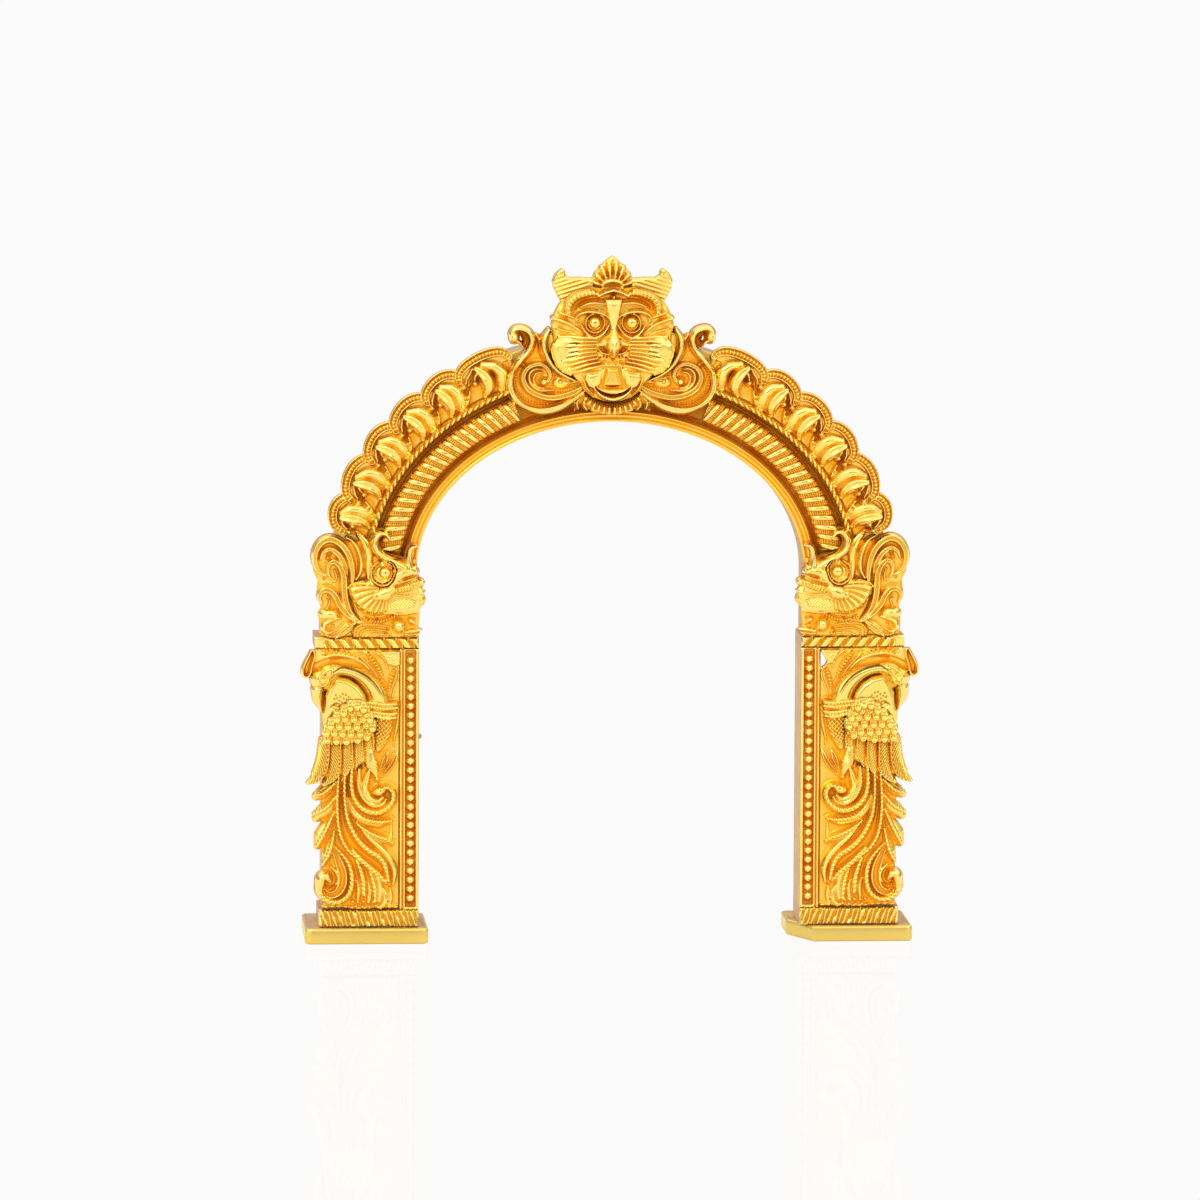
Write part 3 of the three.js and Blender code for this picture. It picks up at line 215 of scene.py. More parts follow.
def smooth_curve(points, closed=False):
    """A Catmull-Rom curve through the points, taken again at even steps. Gives places, directions
    and runs."""
    p = np.asarray(points, float)
    if closed:
        p = np.vstack([p[-1], p, p[:2]])
    else:
        p = np.vstack([2 * p[0] - p[1], p, 2 * p[-1] - p[-2]])
    t = np.linspace(0, 1, 12, endpoint=False)[:, None, None]
    a, b, c, d = p[:-3], p[1:-2], p[2:-1], p[3:]
    rough = 2 * b + (c - a) * t + (2 * a - 5 * b + 4 * c - d) * t**2
    rough = 0.5 * (rough + (3 * b - a - 3 * c + d) * t**3)
    rough = np.vstack([rough.transpose(1, 0, 2).reshape(-1, 2), p[-2]])
    runs = np.concatenate([[0], np.cumsum(np.hypot(*np.diff(rough, axis=0).T))])
    even = np.linspace(0, runs[-1], max(3, int(runs[-1] / CURVE_STEP) + 2))
    places = resampled(rough, runs, even)
    ahead = np.gradient(places, axis=0)
    return places, ahead / np.hypot(*ahead.T)[:, None], even


class Relief:
    """A height field over a rectangle of x and z. height is how far its surface stands in front of
    the piece's back, reach how far a place is inside the outline, negative outside it, and
    shade_and_reflection how dark it is painted, as painted shade and painted dark reflections. Flat
    rows of points are drawn from origin, on the right for side 1 and on the left for -1."""

    def __init__(self, low, high, step, origin=(0.0, 0.0)):
        self.step = step
        self.origin = origin
        self.side = 1
        self.x = np.arange(low[0], high[0] + step, step)
        self.z = np.arange(low[1], high[1] + step, step)
        shape = (len(self.z), len(self.x))
        self.height = np.zeros(shape)
        self.reach = np.full(shape, -9.0)
        self.shade_and_reflection = np.zeros(shape)

    def placed(self, points):
        """Points as pairs. A flat row is moved to its origin and side, and pairs are in place."""
        points = np.asarray(points, float)
        if points.ndim == 2:
            return points
        return points.reshape(-1, 2) * (self.side, 1) + self.origin

    def window(self, points, margin):
        """The rows and columns that lie within margin of the points, and their x and z."""
        p = np.asarray(points, float)
        low, high = p.min(axis=0) - margin, p.max(axis=0) + margin
        columns = slice(*np.searchsorted(self.x, [low[0], high[0]]))
        rows = slice(*np.searchsorted(self.z, [low[1], high[1]]))
        x, z = np.meshgrid(self.x[columns], self.z[rows])
        return (rows, columns), x, z

    def put(self, window, inside, height, mode):
        """Joins a shape to the field. merge keeps the higher surface with a small fillet, over lays
        the new one on top, add and cut raise and lower what is there, and only merge and over widen
        the outline. shade_and_reflection leaves the height as it is and paints the plate darker
        there, as painted shade and as painted dark reflections in fine lines."""
        old = self.height[window]
        within = inside > 0
        if mode == "merge":
            gap = np.clip(0.16 - np.abs(old - height), 0, None)
            had = self.reach[window] > 0
            new = np.where(had, np.maximum(old, height) + gap**2 / 0.64, height)
        elif mode == "over":
            new = height
        elif mode == "add":
            new = old + height
        # Painted shade and painted dark reflections: only the colour is made darker here
        elif mode == "shade_and_reflection":
            shade_and_reflection = self.shade_and_reflection[window]
            self.shade_and_reflection[window] = np.where(within, np.maximum(shade_and_reflection, height), shade_and_reflection)
            return
        else:
            new = np.maximum(old - height, 0.15)
        self.height[window] = np.where(within, new, old)
        if mode in ("merge", "over"):
            self.reach[window] = np.maximum(self.reach[window], inside)

    def strand(self, points, half, top, form=rounded, base=0.0, mode="merge", closed=False):
        """A form carried along a smooth curve, with half widths and tops spread evenly over its
        length."""
        places, ahead, runs = smooth_curve(self.placed(points), closed)
        share = runs / runs[-1]
        halves = np.interp(share, np.linspace(0, 1, np.size(half)), np.atleast_1d(half))
        tops = np.interp(share, np.linspace(0, 1, np.size(top)), np.atleast_1d(top))
        window, x, z = self.window(places, halves.max() + 3 * self.step)
        if x.size == 0:
            return
        nearest = np.empty(x.size, int)
        flat_x, flat_z = x.ravel(), z.ravel()
        chunk = max(1, CHUNK // len(places))
        for start in range(0, x.size, chunk):
            part = slice(start, start + chunk)
            far = (flat_x[part, None] - places[:, 0]) ** 2 + (flat_z[part, None] - places[:,
                1]) ** 2
            nearest[part] = far.argmin(axis=1)
        nearest = nearest.reshape(x.shape)
        dx, dz = x - places[nearest, 0], z - places[nearest, 1]
        along = dx * ahead[nearest, 0] + dz * ahead[nearest, 1]
        side = dz * ahead[nearest, 0] - dx * ahead[nearest, 1]
        end = (nearest == 0) | (nearest == len(places) - 1)
        distance = np.where(end, np.hypot(dx, dz), np.abs(side))
        width = halves[nearest]
        across = np.clip(distance / width, 0, 1) * np.where(side < 0, -1, 1)
        run = runs[nearest] + np.where(end, 0, along)
        height = base + (tops[nearest] - base) * form(across, run, width)
        self.put(window, width - distance, height, mode)

    def polygon(self, points):
        """How far each place is inside a polygon. The distance is that to the nearest side, and its
        sign comes from counting the sides crossed."""
        p = self.placed(points)
        window, x, z = self.window(p, 3 * self.step)
        inside = np.zeros(x.shape, bool)
        distance = np.full(x.shape, 99.0)
        for (ax, az), (bx, bz) in zip(p, np.roll(p, -1, axis=0)):
            ex, ez = bx - ax, bz - az
            share = np.clip(((x - ax) * ex + (z - az) * ez) / (ex * ex + ez * ez + 1e-12), 0, 1)
            distance = np.minimum(distance, np.hypot(x - ax - share * ex, z - az - share * ez))
            crosses = ((az > z) != (bz > z)) & (x < ax + (z - az) / (ez + 1e-12) * ex)
            inside ^= crosses
        return window, np.where(inside, distance, -distance)

    def plate(self, points, top, rounding=0.3, mode="merge"):
        """A level area inside a polygon, with its edge rounded down."""
        window, reach = self.polygon(points)
        drop = 0.5 * rounding * (1 - ease(reach / rounding)) if rounding else 0
        self.put(window, reach, top - drop, mode)

    def opening(self, points):
        """Takes a polygon out of the outline, right through."""
        window, reach = self.polygon(points)
        self.reach[window] = np.minimum(self.reach[window], -reach)

    def ball(self, points, radius, top, base=0.0, mode="merge", stretch=1.0, lean=0.0):
        """A dome at each point. stretch lengthens it along a line that leans by lean degrees."""
        for px, pz in self.placed(points):
            window, x, z = self.window([(px, pz)], radius * max(stretch, 1) + 3 * self.step)
            turn = math.radians(lean)
            u = ((x - px) * math.cos(turn) + (z - pz) * math.sin(turn)) / stretch
            v = (z - pz) * math.cos(turn) - (x - px) * math.sin(turn)
            distance = np.hypot(u, v)
            dome = np.sqrt(np.clip(1 - (distance / radius) ** 2, 0, 1))
            self.put(window, radius - distance, base + (top - base) * dome, mode)

    def pits(self, points, radius, depth):
        """Round hollows, the half ball taken away."""
        self.ball(points, radius, depth, mode="cut")

    def finish(self, passes=1, rim=0.18):
        """Carries the surface a little past the outline, rounds its rim and softens it, as casting
        does. hollow is then how far a place lies under the mean height round it, taken near by and
        further off, plus a share for low ground and shade_and_reflection. The material turns it
        into painted shade where it is high and a painted highlight where it is below zero."""
        fillet, near, far = 0.55, 0.24, 0.8
        known = self.reach > 0
        height = self.height.copy()
        for _ in range(3):
            total = np.zeros_like(height)
            count = np.zeros_like(height)
            for rows in (-1, 0, 1):
                for columns in (-1, 0, 1):
                    there = np.roll(known, (rows, columns), (0, 1))
                    total += np.roll(height, (rows, columns), (0, 1)) * there
                    count += there
            new = ~known & (count > 0)
            height[new] = total[new] / count[new]
            known |= new
        for _ in range(passes):
            for axis in (0, 1):
                height = 0.25 * np.roll(height, 1, axis) + 0.5 * height + 0.25 * np.roll(height, -1,
                    axis)
        self.height = height
        ground = ease(1.15 - height / (0.45 * height[known].max()))
        height = height + 0.6 * ground * np.clip(self.around(fillet, known) - height, 0, 1)
        height -= rim * (1 - np.clip(self.reach / (2 * rim + 0.02), 0, 1)) ** 2
        self.height = np.maximum(height, 0.12)
        # hollow: painted shade where a place lies below the surface round it, painted highlight
        # where it stands above
        fine = self.around(near, known) - self.height
        broad = self.around(far, known) - self.height
        # Painted shade on low ground, stronger the lower it lies
        low = 0.5 * ease(1.3 - self.height / (0.5 * self.height[known].max()))
        self.hollow = np.clip(broad / 1.1 + fine / 0.45 + low, -1, 2) * known + self.shade_and_reflection
        return self

    def around(self, distance, known):
        """The mean height of the known surface within a square of that half width."""
        span = max(1, round(distance / self.step))
        total = self.height * known
        count = known.astype(float)
        for axis in (0, 1):
            total = moving_mean(total, span, axis)
            count = moving_mean(count, span, axis)
        return total / np.maximum(count, 1e-6)


def moving_mean(values, span, axis):
    """The mean over 2 span + 1 neighbours along one axis, from running sums."""
    pad = [(0, 0), (0, 0)]
    pad[axis] = (span + 1, span)
    sums = np.cumsum(np.pad(values, pad, mode="edge"), axis=axis)
    length = values.shape[axis]
    high = np.take(sums, np.arange(2 * span + 1, 2 * span + 1 + length), axis=axis)
    low = np.take(sums, np.arange(0, length), axis=axis)
    return (high - low) / (2 * span + 1)


# Meshes


class Shape:
    """Vertices in millimetres, faces as one list of corners with their counts, and what each
    carries."""

    def __init__(self):
        self.vertices = np.zeros((0, 3))
        self.corners = np.zeros(0, int)
        self.counts = np.zeros(0, int)
        self.hollow = np.zeros(0)
        self.side = np.zeros(0)
        self.creases = np.zeros((0, 2), int)

    def add(self, vertices, faces, hollow=None, side=0.0, creases=None):
        """Adds faces, given as an array of rows of corners or a list of such rows of any length."""
        start = len(self.vertices)
        self.vertices = np.vstack([self.vertices, vertices])
        self.hollow = np.concatenate([self.hollow,
            np.zeros(len(vertices)) if hollow is None else hollow])
        self.join(faces, start, side)
        if creases is not None:
            self.creases = np.vstack([self.creases, np.asarray(creases, int) + start])

    def join(self, faces, start=0, side=0.0):
        """Adds faces between vertices that are there. start is added to each corner."""
        if len(faces) == 0:
            return
        if isinstance(faces, np.ndarray):
            corners, counts = faces.ravel(), np.full(len(faces), faces.shape[1])
        else:
            corners, counts = np.concatenate(faces), np.array([len(face) for face in faces])
        self.corners = np.concatenate([self.corners, corners + start])
        self.counts = np.concatenate([self.counts, counts])
        self.side = np.concatenate([self.side, np.full(len(counts), side)])

    def mirrored(self):
        """The image across x = 0, with each face's corners in reverse so that it still points
        outward."""
        image = Shape()
        image.vertices = self.vertices * (-1, 1, 1)
        image.hollow = self.hollow
        image.counts = self.counts
        image.side = self.side
        image.creases = self.creases
        ends = np.cumsum(self.counts)
        face = np.repeat(np.arange(len(self.counts)), self.counts)
        place = np.arange(len(self.corners))
        image.corners = self.corners[(ends[face] - self.counts[face]) + (ends[face] - 1 - place)]
        return image

    def piece(self, name, material, sharp=None):
        """The finished object: the mesh in metres, with its attributes, its smooth faces and its
        creases."""
        mesh = bpy.data.meshes.new(name)
        mesh.vertices.add(len(self.vertices))
        mesh.vertices.foreach_set("co", (self.vertices * MM).ravel())
        mesh.loops.add(len(self.corners))
        mesh.loops.foreach_set("vertex_index", self.corners.astype(np.int32))
        mesh.polygons.add(len(self.counts))
        starts = np.concatenate([[0], np.cumsum(self.counts)[:-1]])
        mesh.polygons.foreach_set("loop_start", starts.astype(np.int32))
        mesh.polygons.foreach_set("use_smooth", np.ones(len(self.counts), bool))
        mesh.update(calc_edges=True)
        mesh.attributes.new("hollow", "FLOAT", "POINT").data.foreach_set("value", self.hollow)
        mesh.attributes.new("side", "FLOAT", "FACE").data.foreach_set("value", self.side)
        if len(self.creases):
            ends = np.empty(2 * len(mesh.edges), np.int32)
            mesh.edges.foreach_get("vertices", ends)
            ends = np.sort(ends.reshape(-1, 2), axis=1).astype(np.int64)
            wanted = np.sort(self.creases, axis=1)
            count = len(self.vertices)
            crease = np.isin(ends[:, 0] * count + ends[:, 1], wanted[:, 0] * count + wanted[:, 1])
            mesh.attributes.new("sharp_edge", "BOOLEAN", "EDGE").data.foreach_set("value", crease)
        if sharp:
            mesh.set_sharp_from_angle(angle=math.radians(sharp))
        mesh.materials.append(material)
        obj = bpy.data.objects.new(name, mesh)
        bpy.context.scene.collection.objects.link(obj)
        return obj


def solid_of(relief, back, place=None):
    """The relief as a closed shape. Its grid is the front, the corners just outside the outline are
    moved onto it along the slope of reach, walls go straight back from the rim, and strips close
    the back. place bends the grid along the arch, and its back is then a grid too."""
    inside = relief.reach > 0
    kept = inside[:-1, :-1] | inside[1:, :-1] | inside[:-1, 1:] | inside[1:, 1:]
    # Cells that would meet at a corner only get a neighbour, so that no edge has four faces
    falling = kept[:-1, :-1] & kept[1:, 1:]
    rising = kept[:-1, 1:] & kept[1:, :-1]
    kept[:-1, 1:] |= falling
    kept[:-1, :-1] |= rising
    rows, columns = inside.shape
    number = np.arange(rows * columns).reshape(rows, columns)
    a, b = number[:-1, :-1], number[:-1, 1:]
    d, c = number[1:, :-1], number[1:, 1:]
    front = np.stack([a, b, c, d], axis=-1)[kept]
    edge_of = np.pad(kept, 1)
    bottom = kept & ~edge_of[:-2, 1:-1]
    top = kept & ~edge_of[2:, 1:-1]
    left = kept & ~edge_of[1:-1, :-2]
    right = kept & ~edge_of[1:-1, 2:]
    rim = np.vstack([
        np.stack([a, b], axis=-1)[bottom],
        np.stack([c, d], axis=-1)[top],
        np.stack([d, a], axis=-1)[left],
        np.stack([b, c], axis=-1)[right],
    ])
    on_rim = np.zeros(rows * columns, bool)
    on_rim[rim.ravel()] = True
    slope_z, slope_x = np.gradient(relief.reach, relief.step)
    steep = slope_x**2 + slope_z**2
    least = 0.05
    move = np.where(inside | (steep < least), 0, -relief.reach / np.maximum(steep, least))
    move = np.clip(move, 0, 1.5 * relief.step)
    x, z = np.meshgrid(relief.x, relief.z)
    x = x + slope_x * move
    z = z + slope_z * move
    if place:
        x, z = place(x, z)
    used = np.unique(front)
    fresh = np.full(rows * columns, -1)
    fresh[used] = np.arange(len(used))
    behind = np.full(rows * columns, -1)
    rim_used = used if place else np.flatnonzero(on_rim)
    behind[rim_used] = len(used) + np.arange(len(rim_used))
    x, z, height, hollow = x.ravel(), z.ravel(), relief.height.ravel(), relief.hollow.ravel()
    vertices = np.vstack([
        np.column_stack([x[used], back - height[used], z[used]]),
        np.column_stack([x[rim_used], np.full(len(rim_used), back), z[rim_used]]),
    ])
    shape = Shape()
    shape.add(
        vertices,
        fresh[front],
        np.concatenate([hollow[used], np.zeros(len(rim_used))]),
        creases=np.vstack([fresh[rim], behind[rim]]),
    )
    shape.join(np.column_stack([fresh[rim[:, 1]], fresh[rim[:, 0]], behind[rim[:, 0]],
        behind[rim[:, 1]]]), side=1.0)
    if place:
        shape.join(behind[front[:, ::-1]], side=1.0)
        return outward(shape)
    strips = []
    on_rim = on_rim.reshape(rows, columns)
    for row in np.flatnonzero(kept.any(axis=1)):
        changes = np.flatnonzero(np.diff(np.concatenate([[0], kept[row].astype(int), [0]])))
        for start, stop in changes.reshape(-1, 2):
            below = number[row, start : stop + 1][on_rim[row, start : stop + 1]]
            above = number[row + 1, start : stop + 1][on_rim[row + 1, start : stop + 1]]
            strips.append(np.concatenate([behind[below[::-1]], behind[above]]))
    shape.join(strips, side=1.0)
    return shape


def ringed(vertices, rings, side=0.0, hollow=None):
    """A closed shape from rings of vertices, joined by quads and closed by a cap at each end."""
    number = np.arange(len(vertices)).reshape(rings, -1)
    after = np.roll(number, -1, axis=1)
    quads = np.stack([number[:-1], after[:-1], after[1:], number[1:]], axis=-1).reshape(-1, 4)
    shape = Shape()
    shape.add(vertices, quads, hollow, side)
    shape.join([number[0, ::-1], number[-1]], side=1.0)
    return outward(shape)


def sweep(profile, places, hollow, matt_from):
    """A closed profile of (outward, y) points carried along a path. places gives, for each step,
    the x, z origin and the outward direction. The faces that run front to back count as side walls,
    and so do those that lie behind matt_from."""
    profile = np.asarray(profile, float)
    x0, z0, out_x, out_z = places
    x = x0[:, None] + out_x[:, None] * profile[:, 0]
    z = z0[:, None] + out_z[:, None] * profile[:, 0]
    y = np.broadcast_to(profile[:, 1], x.shape)
    vertices = np.stack([x, y, z], axis=-1).reshape(-1, 3)
    turn = np.abs(np.roll(profile[:, 1], -1) - profile[:, 1])
    width = np.abs(np.roll(profile[:, 0], -1) - profile[:, 0])
    behind = 0.5 * (np.roll(profile[:, 1], -1) + profile[:, 1]) > matt_from
    side = np.where((turn > 3 * width + 0.3) | behind, 1.0, 0.0)
    return ringed(vertices, len(x), np.tile(side, len(x) - 1), np.tile(hollow, len(x)))


def outward(shape):
    """Turns every face round if the volume that they enclose comes out negative."""
    starts = np.cumsum(shape.counts) - shape.counts
    first = shape.vertices[shape.corners[np.repeat(starts, shape.counts)]]
    here = shape.vertices[shape.corners]
    ends = np.repeat(starts + shape.counts - 1, shape.counts)
    index = np.arange(len(shape.corners))
    following = np.where(index == ends, np.repeat(starts, shape.counts), index + 1)
    after = shape.vertices[shape.corners[following]]
    if np.einsum("ij,ij->", first, np.cross(here, after)) < 0:
        whole = shape.mirrored()
        whole.vertices = shape.vertices
        return whole
    return shape


def arch_path():
    """Places for sweep, up the right leg, over the arch and down the left leg."""
    runs = np.concatenate([np.linspace(-LEG_HEIGHT, 0, 6)[:-1], np.linspace(0, QUARTER, 150)])
    x0, z0 = on_arch(runs, 0.0)
    x1, z1 = on_arch(runs, 1.0)
    halves = ((-1, x0), (1, z0), (-1, x1 - x0), (1, z1 - z0))
    return [np.concatenate([half, sign * half[-2::-1]]) for sign, half in halves]


def place_one(name, shape, material, sharp=None):
    """Puts a shape in the scene in place of its CAD node."""
    obj = shape.piece(f"{name}_cast", material, sharp)
    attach(obj, "root")
    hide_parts(name)


def place_pair(name, shape, material, left=None, sharp=None):
    """Puts a shape on the right and its image on the left. left is the shape whose image goes on
    the left where that side differs."""
    for side, one in (("right", shape), ("left", (left or shape).mirrored())):
        place_one(f"{side}_{name}", one, material, sharp)


# Peacock, drawn from the inner top corner of its pillar
PILLAR_WINDOW = (3.04, -0.06, 3.5, -0.32, 3.91, -1.27, 4.54, -2.33, 4.22, -2.9, 3.61, -3.41,
    3.04, -3.55)


def peacock_body(pierced):
    """Neck, head, throat web, collars, scaled breast and the leaf bud under it."""
    field = Relief((PILLAR_INNER + 2.4, PILLAR_TOP - 23.2),
        (PILLAR_INNER + 19.6, PILLAR_TOP - 1.4), 0.08, OF_PILLAR)
    plate, strand, ball, pits = field.plate, field.strand, field.ball, field.pits
    plate((3.27, -8.25, 3.27, -23.78, 7.48, -24.16, 9.37, -23.78, 10.32, -19.24, 8.23, -16.96,
        8.04, -11.47, 9.37, -9, 5.58, -7.49), 0.7)
    plate((3.27, -9, 3.27, -1.23, 6.34, -1.23, 9.37, -1.42, 12.78, -1.33, 15.43, -1.61,
        17.14, -2.37, 17.67, -3.13, 16.95, -4.83, 14.49, -3.32, 12.02, -3.51, 9.37, -4.83,
        7.1, -7.49), 0.9)
    plate((14.68, -4.46, 13.73, -4.64, 12.21, -5.02, 10.51, -6.16, 9.37, -7.68, 8.99, -9,
        9.37, -9.95, 10.51, -9.48, 12.02, -9.48, 13.16, -9.95, 14.3, -10.9, 15.15, -12.04,
        16.1, -13.55, 16.61, -13.93, 16.8, -12.04, 16.88, -10.9, 16.48, -8.43, 15.81, -6.35), 2.4,
        0.9)
    strand((16.86, -5.02, 15.81, -3.98, 14.49, -3.43, 12.21, -3.62, 9.94, -4.55, 8.33, -5.97,
        7.32, -7.68, 7.06, -9.48), [2.05, 1.75, 1.15, 1.2, 1.5, 1.8, 1.95, 2.0],
        [3.6, 3.5, 3.3, 3.3, 3.3, 3.2, 3.1])
    strand((17.67, -6.92, 17.56, -8.62, 16.99, -10.56), [1.25, 1.0, 0.3], [3.0, 2.4, 1.9])
    strand((16.38, -8.25, 16.53, -9.38, 16.72, -10.8), [0.12, 0.22, 0.1], 1.1, mode="cut")
    ball((16.91, -5.06), 2.15, 3.7, stretch=1.06, lean=60)
    strand((15.13, -3.05, 16.1, -3.36, 17.1, -4.11, 17.52, -5.06, 17.37, -5.9, 16.61, -6.08,
        16, -5.44, 15.7, -4.64, 15.21, -3.89), 0.15, 0.42, mode="add", closed=True)
    ball((16.29, -4.36), 0.85, 0.4, mode="cut", stretch=1.5, lean=-50)
    ball((16.76, -5.1), 0.55, 0.75, mode="add")
    pits((16.76, -5.14), 0.14, 0.2)
    plate((9.37, -9, 3.88, -9.1, 3.97, -12.04, 5.01, -12.22, 6.72, -12.04, 8.14, -11.56,
        9.28, -10.14), 2.3, 0.3)
    for points, top in (
        ((9.56, -9, 7.85, -9.23, 5.96, -9.46, 3.97, -9.29), 3.3),
        ((9.22, -9.61, 7.67, -9.95, 5.96, -10.14, 3.91, -9.95), 3.2),
        ((8.61, -10.56, 6.91, -10.99, 5.2, -11.13, 3.97, -10.94), 3.1),
        ((8.14, -11.32, 6.53, -11.73, 5.11, -11.85, 4.16, -11.69), 3.2),
    ):
        strand(points, [0.3, 0.4, 0.4, 0.28], top, barbed(0.56, depth=0.2), base=2.4, mode="over")
    strand((6.19, -11.85, 6.19, -13.93, 6.57, -15.83, 7.06, -17.44), [1.75, 1.65, 1.25, 0.6],
        [3.1, 3.1, 2.7, 2.0], scaled(0.84, 0.2), base=0.7)
    strand((3.63, -10.14, 3.69, -12.04, 3.97, -13.93, 4.35, -15.83, 4.29, -16.96),
        [0.2, 0.28, 0.42, 0.3, 0.12], 1.5)
    strand((8.65, -17.81, 8.33, -19.62, 7.36, -22.17), [0.85, 1.25, 0.35], [2.3, 2.6, 2.0],
        barbed(0.42, -1.9, 0.26), base=0.7)
    strand((5.24, -17.44, 5.81, -18.95, 6.62, -21.04), [0.15, 0.62, 0.3], [2.2, 2.4, 2.0], dished)
    strand((3.63, -17.53, 4.35, -19.43, 5.49, -21.04, 6.53, -22.17), [0.2, 0.5, 0.5, 0.3],
        [1.8, 2.3, 2.3, 2.0], dished)
    ball((7.32, -22.5), 0.6, 2.3)
    # Painted dark reflection: a thin dark line along the crest of the neck, with no groove under it
    strand((6.6, -7.6, 7.46, -6.14, 8.67, -4.82, 10.38, -3.72, 12.31, -3.03, 13.77, -2.94,
        15.06, -3.73), [0.04, 0.13, 0.17, 0.2, 0.22, 0.2, 0.06], 3.2, flat, base=3.2, mode="shade_and_reflection")
    for places in ((12.78, -7.64, 12.25, -8.09, 13.16, -8.28, 13.73, -7.92, 13.88, -8.66,
        14.3, -8.25), (13.31, -7.49, 14.49, -7.71, 12.59, -8.59, 13.43, -9, 14.77, -8.36)):
        pits(places, 0.15, 0.1)
        # Painted shade round each pit of the throat
        ball(places, 0.12, 1.5, base=0.9, mode="shade_and_reflection", stretch=1.8, lean=30)
    pits((4.73, -12.04, 4.41, -16.01, 4.54, -21.89), 0.24, 0.3)
    ball((14.77, -9.95, 14.3, -9.61), 0.5, 0.28, mode="cut", stretch=1.5, lean=20)
    if pierced:
        field.opening(PILLAR_WINDOW)
    return solid_of(field.finish(), PILLAR_FRONT)


def peacock_wing():
    """Cupped scales laid row on row from the bottom up, over six primaries with slanting barbs."""
    field = Relief((PILLAR_INNER + 7.4, PILLAR_TOP - 24.2),
        (PILLAR_INNER + 20.2, PILLAR_TOP - 8.6), 0.075, OF_PILLAR)
    primaries = (
        ((8.2, -14.5, 7.93, -16.2, 8.27, -17.91), [0.36, 0.4, 0.16], 2.3, 0.45, 0.9),
        ((9.03, -14.88, 8.95, -17.15, 9.3, -19.2), [0.66, 0.74, 0.16], 2.5, 0.48, 1.0),
        ((10.6, -15.07, 10.58, -17.91, 10.74, -19.62, 11.08, -20.9), [0.84, 0.92, 0.72, 0.16], 2.8,
            0.5, 1.0),
        ((12.55, -15.45, 12.44, -18.29, 12.59, -20.18, 13.07, -22.08, 13.58, -22.95),
            [0.94, 1.05, 1.02, 0.72, 0.17], 3.1, 0.52, 1.1),
        ((14.56, -15.64, 14.56, -18.86, 14.71, -20.75, 15.34, -22.31, 16.48, -23.41),
            [1.0, 1.1, 1.12, 1.0, 0.45], 3.4, 0.64, 1.4),
        ((16.53, -15.83, 16.72, -18.67, 17.18, -20.66, 18.05, -22.36, 19.38, -23.25),
            [1.0, 1.15, 1.25, 1.15, 0.32], 3.6, 0.76, 1.7),
    )
    field.plate((7.67, -14.31, 7.67, -17.34, 8.8, -19.24, 10.51, -20.18, 12.02, -21.51,
        14.68, -22.08, 16.95, -22.27, 18.09, -22.08, 16.95, -17.72, 16.95, -15.45), 1.7, 0.5)
    for points, half, top, pitch, slant in primaries:
        field.strand(points, half, [top, top, top * 0.85], feathered(pitch, slant), base=0.5,
            mode="over")
    field.plate((8.2, -11.85, 8.8, -9.95, 10.13, -9.29, 11.64, -9.34, 13.16, -9.95, 14.3, -10.94,
        15.21, -12.04, 15.81, -12.89, 16.27, -14.02, 16.61, -15.16, 17.29, -16.39, 15.06, -16.49,
        12.78, -16.39, 10.51, -16.01, 8.99, -15.54, 7.89, -14.88, 7.82, -13.36), 2.9, 0.7)
    rows = (
        ((16, -15.64, 14.45, -15.83, 12.71, -15.9, 10.77, -15.64, 9.14, -15.16), 3.35),
        ((16.16, -14.4, 14.83, -14.4, 13.41, -14.5, 11.93, -14.61, 10.32, -14.59, 8.71, -14.02),
            3.55),
        ((15.43, -13.21, 13.96, -13.21, 12.48, -13.25, 10.89, -13.29, 9.26, -13.02, 8.2, -13.55),
            3.7),
        ((14.39, -11.94, 12.93, -11.88, 11.42, -11.92, 9.9, -11.96, 8.61, -12.04), 3.8),
        ((13.16, -10.86, 11.8, -10.71, 10.41, -10.75, 9.28, -10.99), 3.85),
        ((12.02, -9.95, 10.79, -9.8, 9.75, -10.23), 3.8),
    )
    for points, top in rows:
        for x, z in field.placed(points):
            field.strand([(x - 0.05, z + 0.9), (x, z)], 0.74, [top - 0.3, top], flat,
                base=top - 0.7, mode="over")
            rim = [(x - 0.5, z + 0.6), (x - 0.46, z - 0.06), (x, z - 0.46), (x + 0.46, z - 0.06),
                (x + 0.5, z + 0.6)]
            field.strand(rim, 0.19, 0.27, mode="add")
            field.ball([(x, z + 0.16)], 0.42, 0.2, mode="cut", stretch=1.3, lean=90)
    return solid_of(field.finish(), PILLAR_FRONT - LAYER)


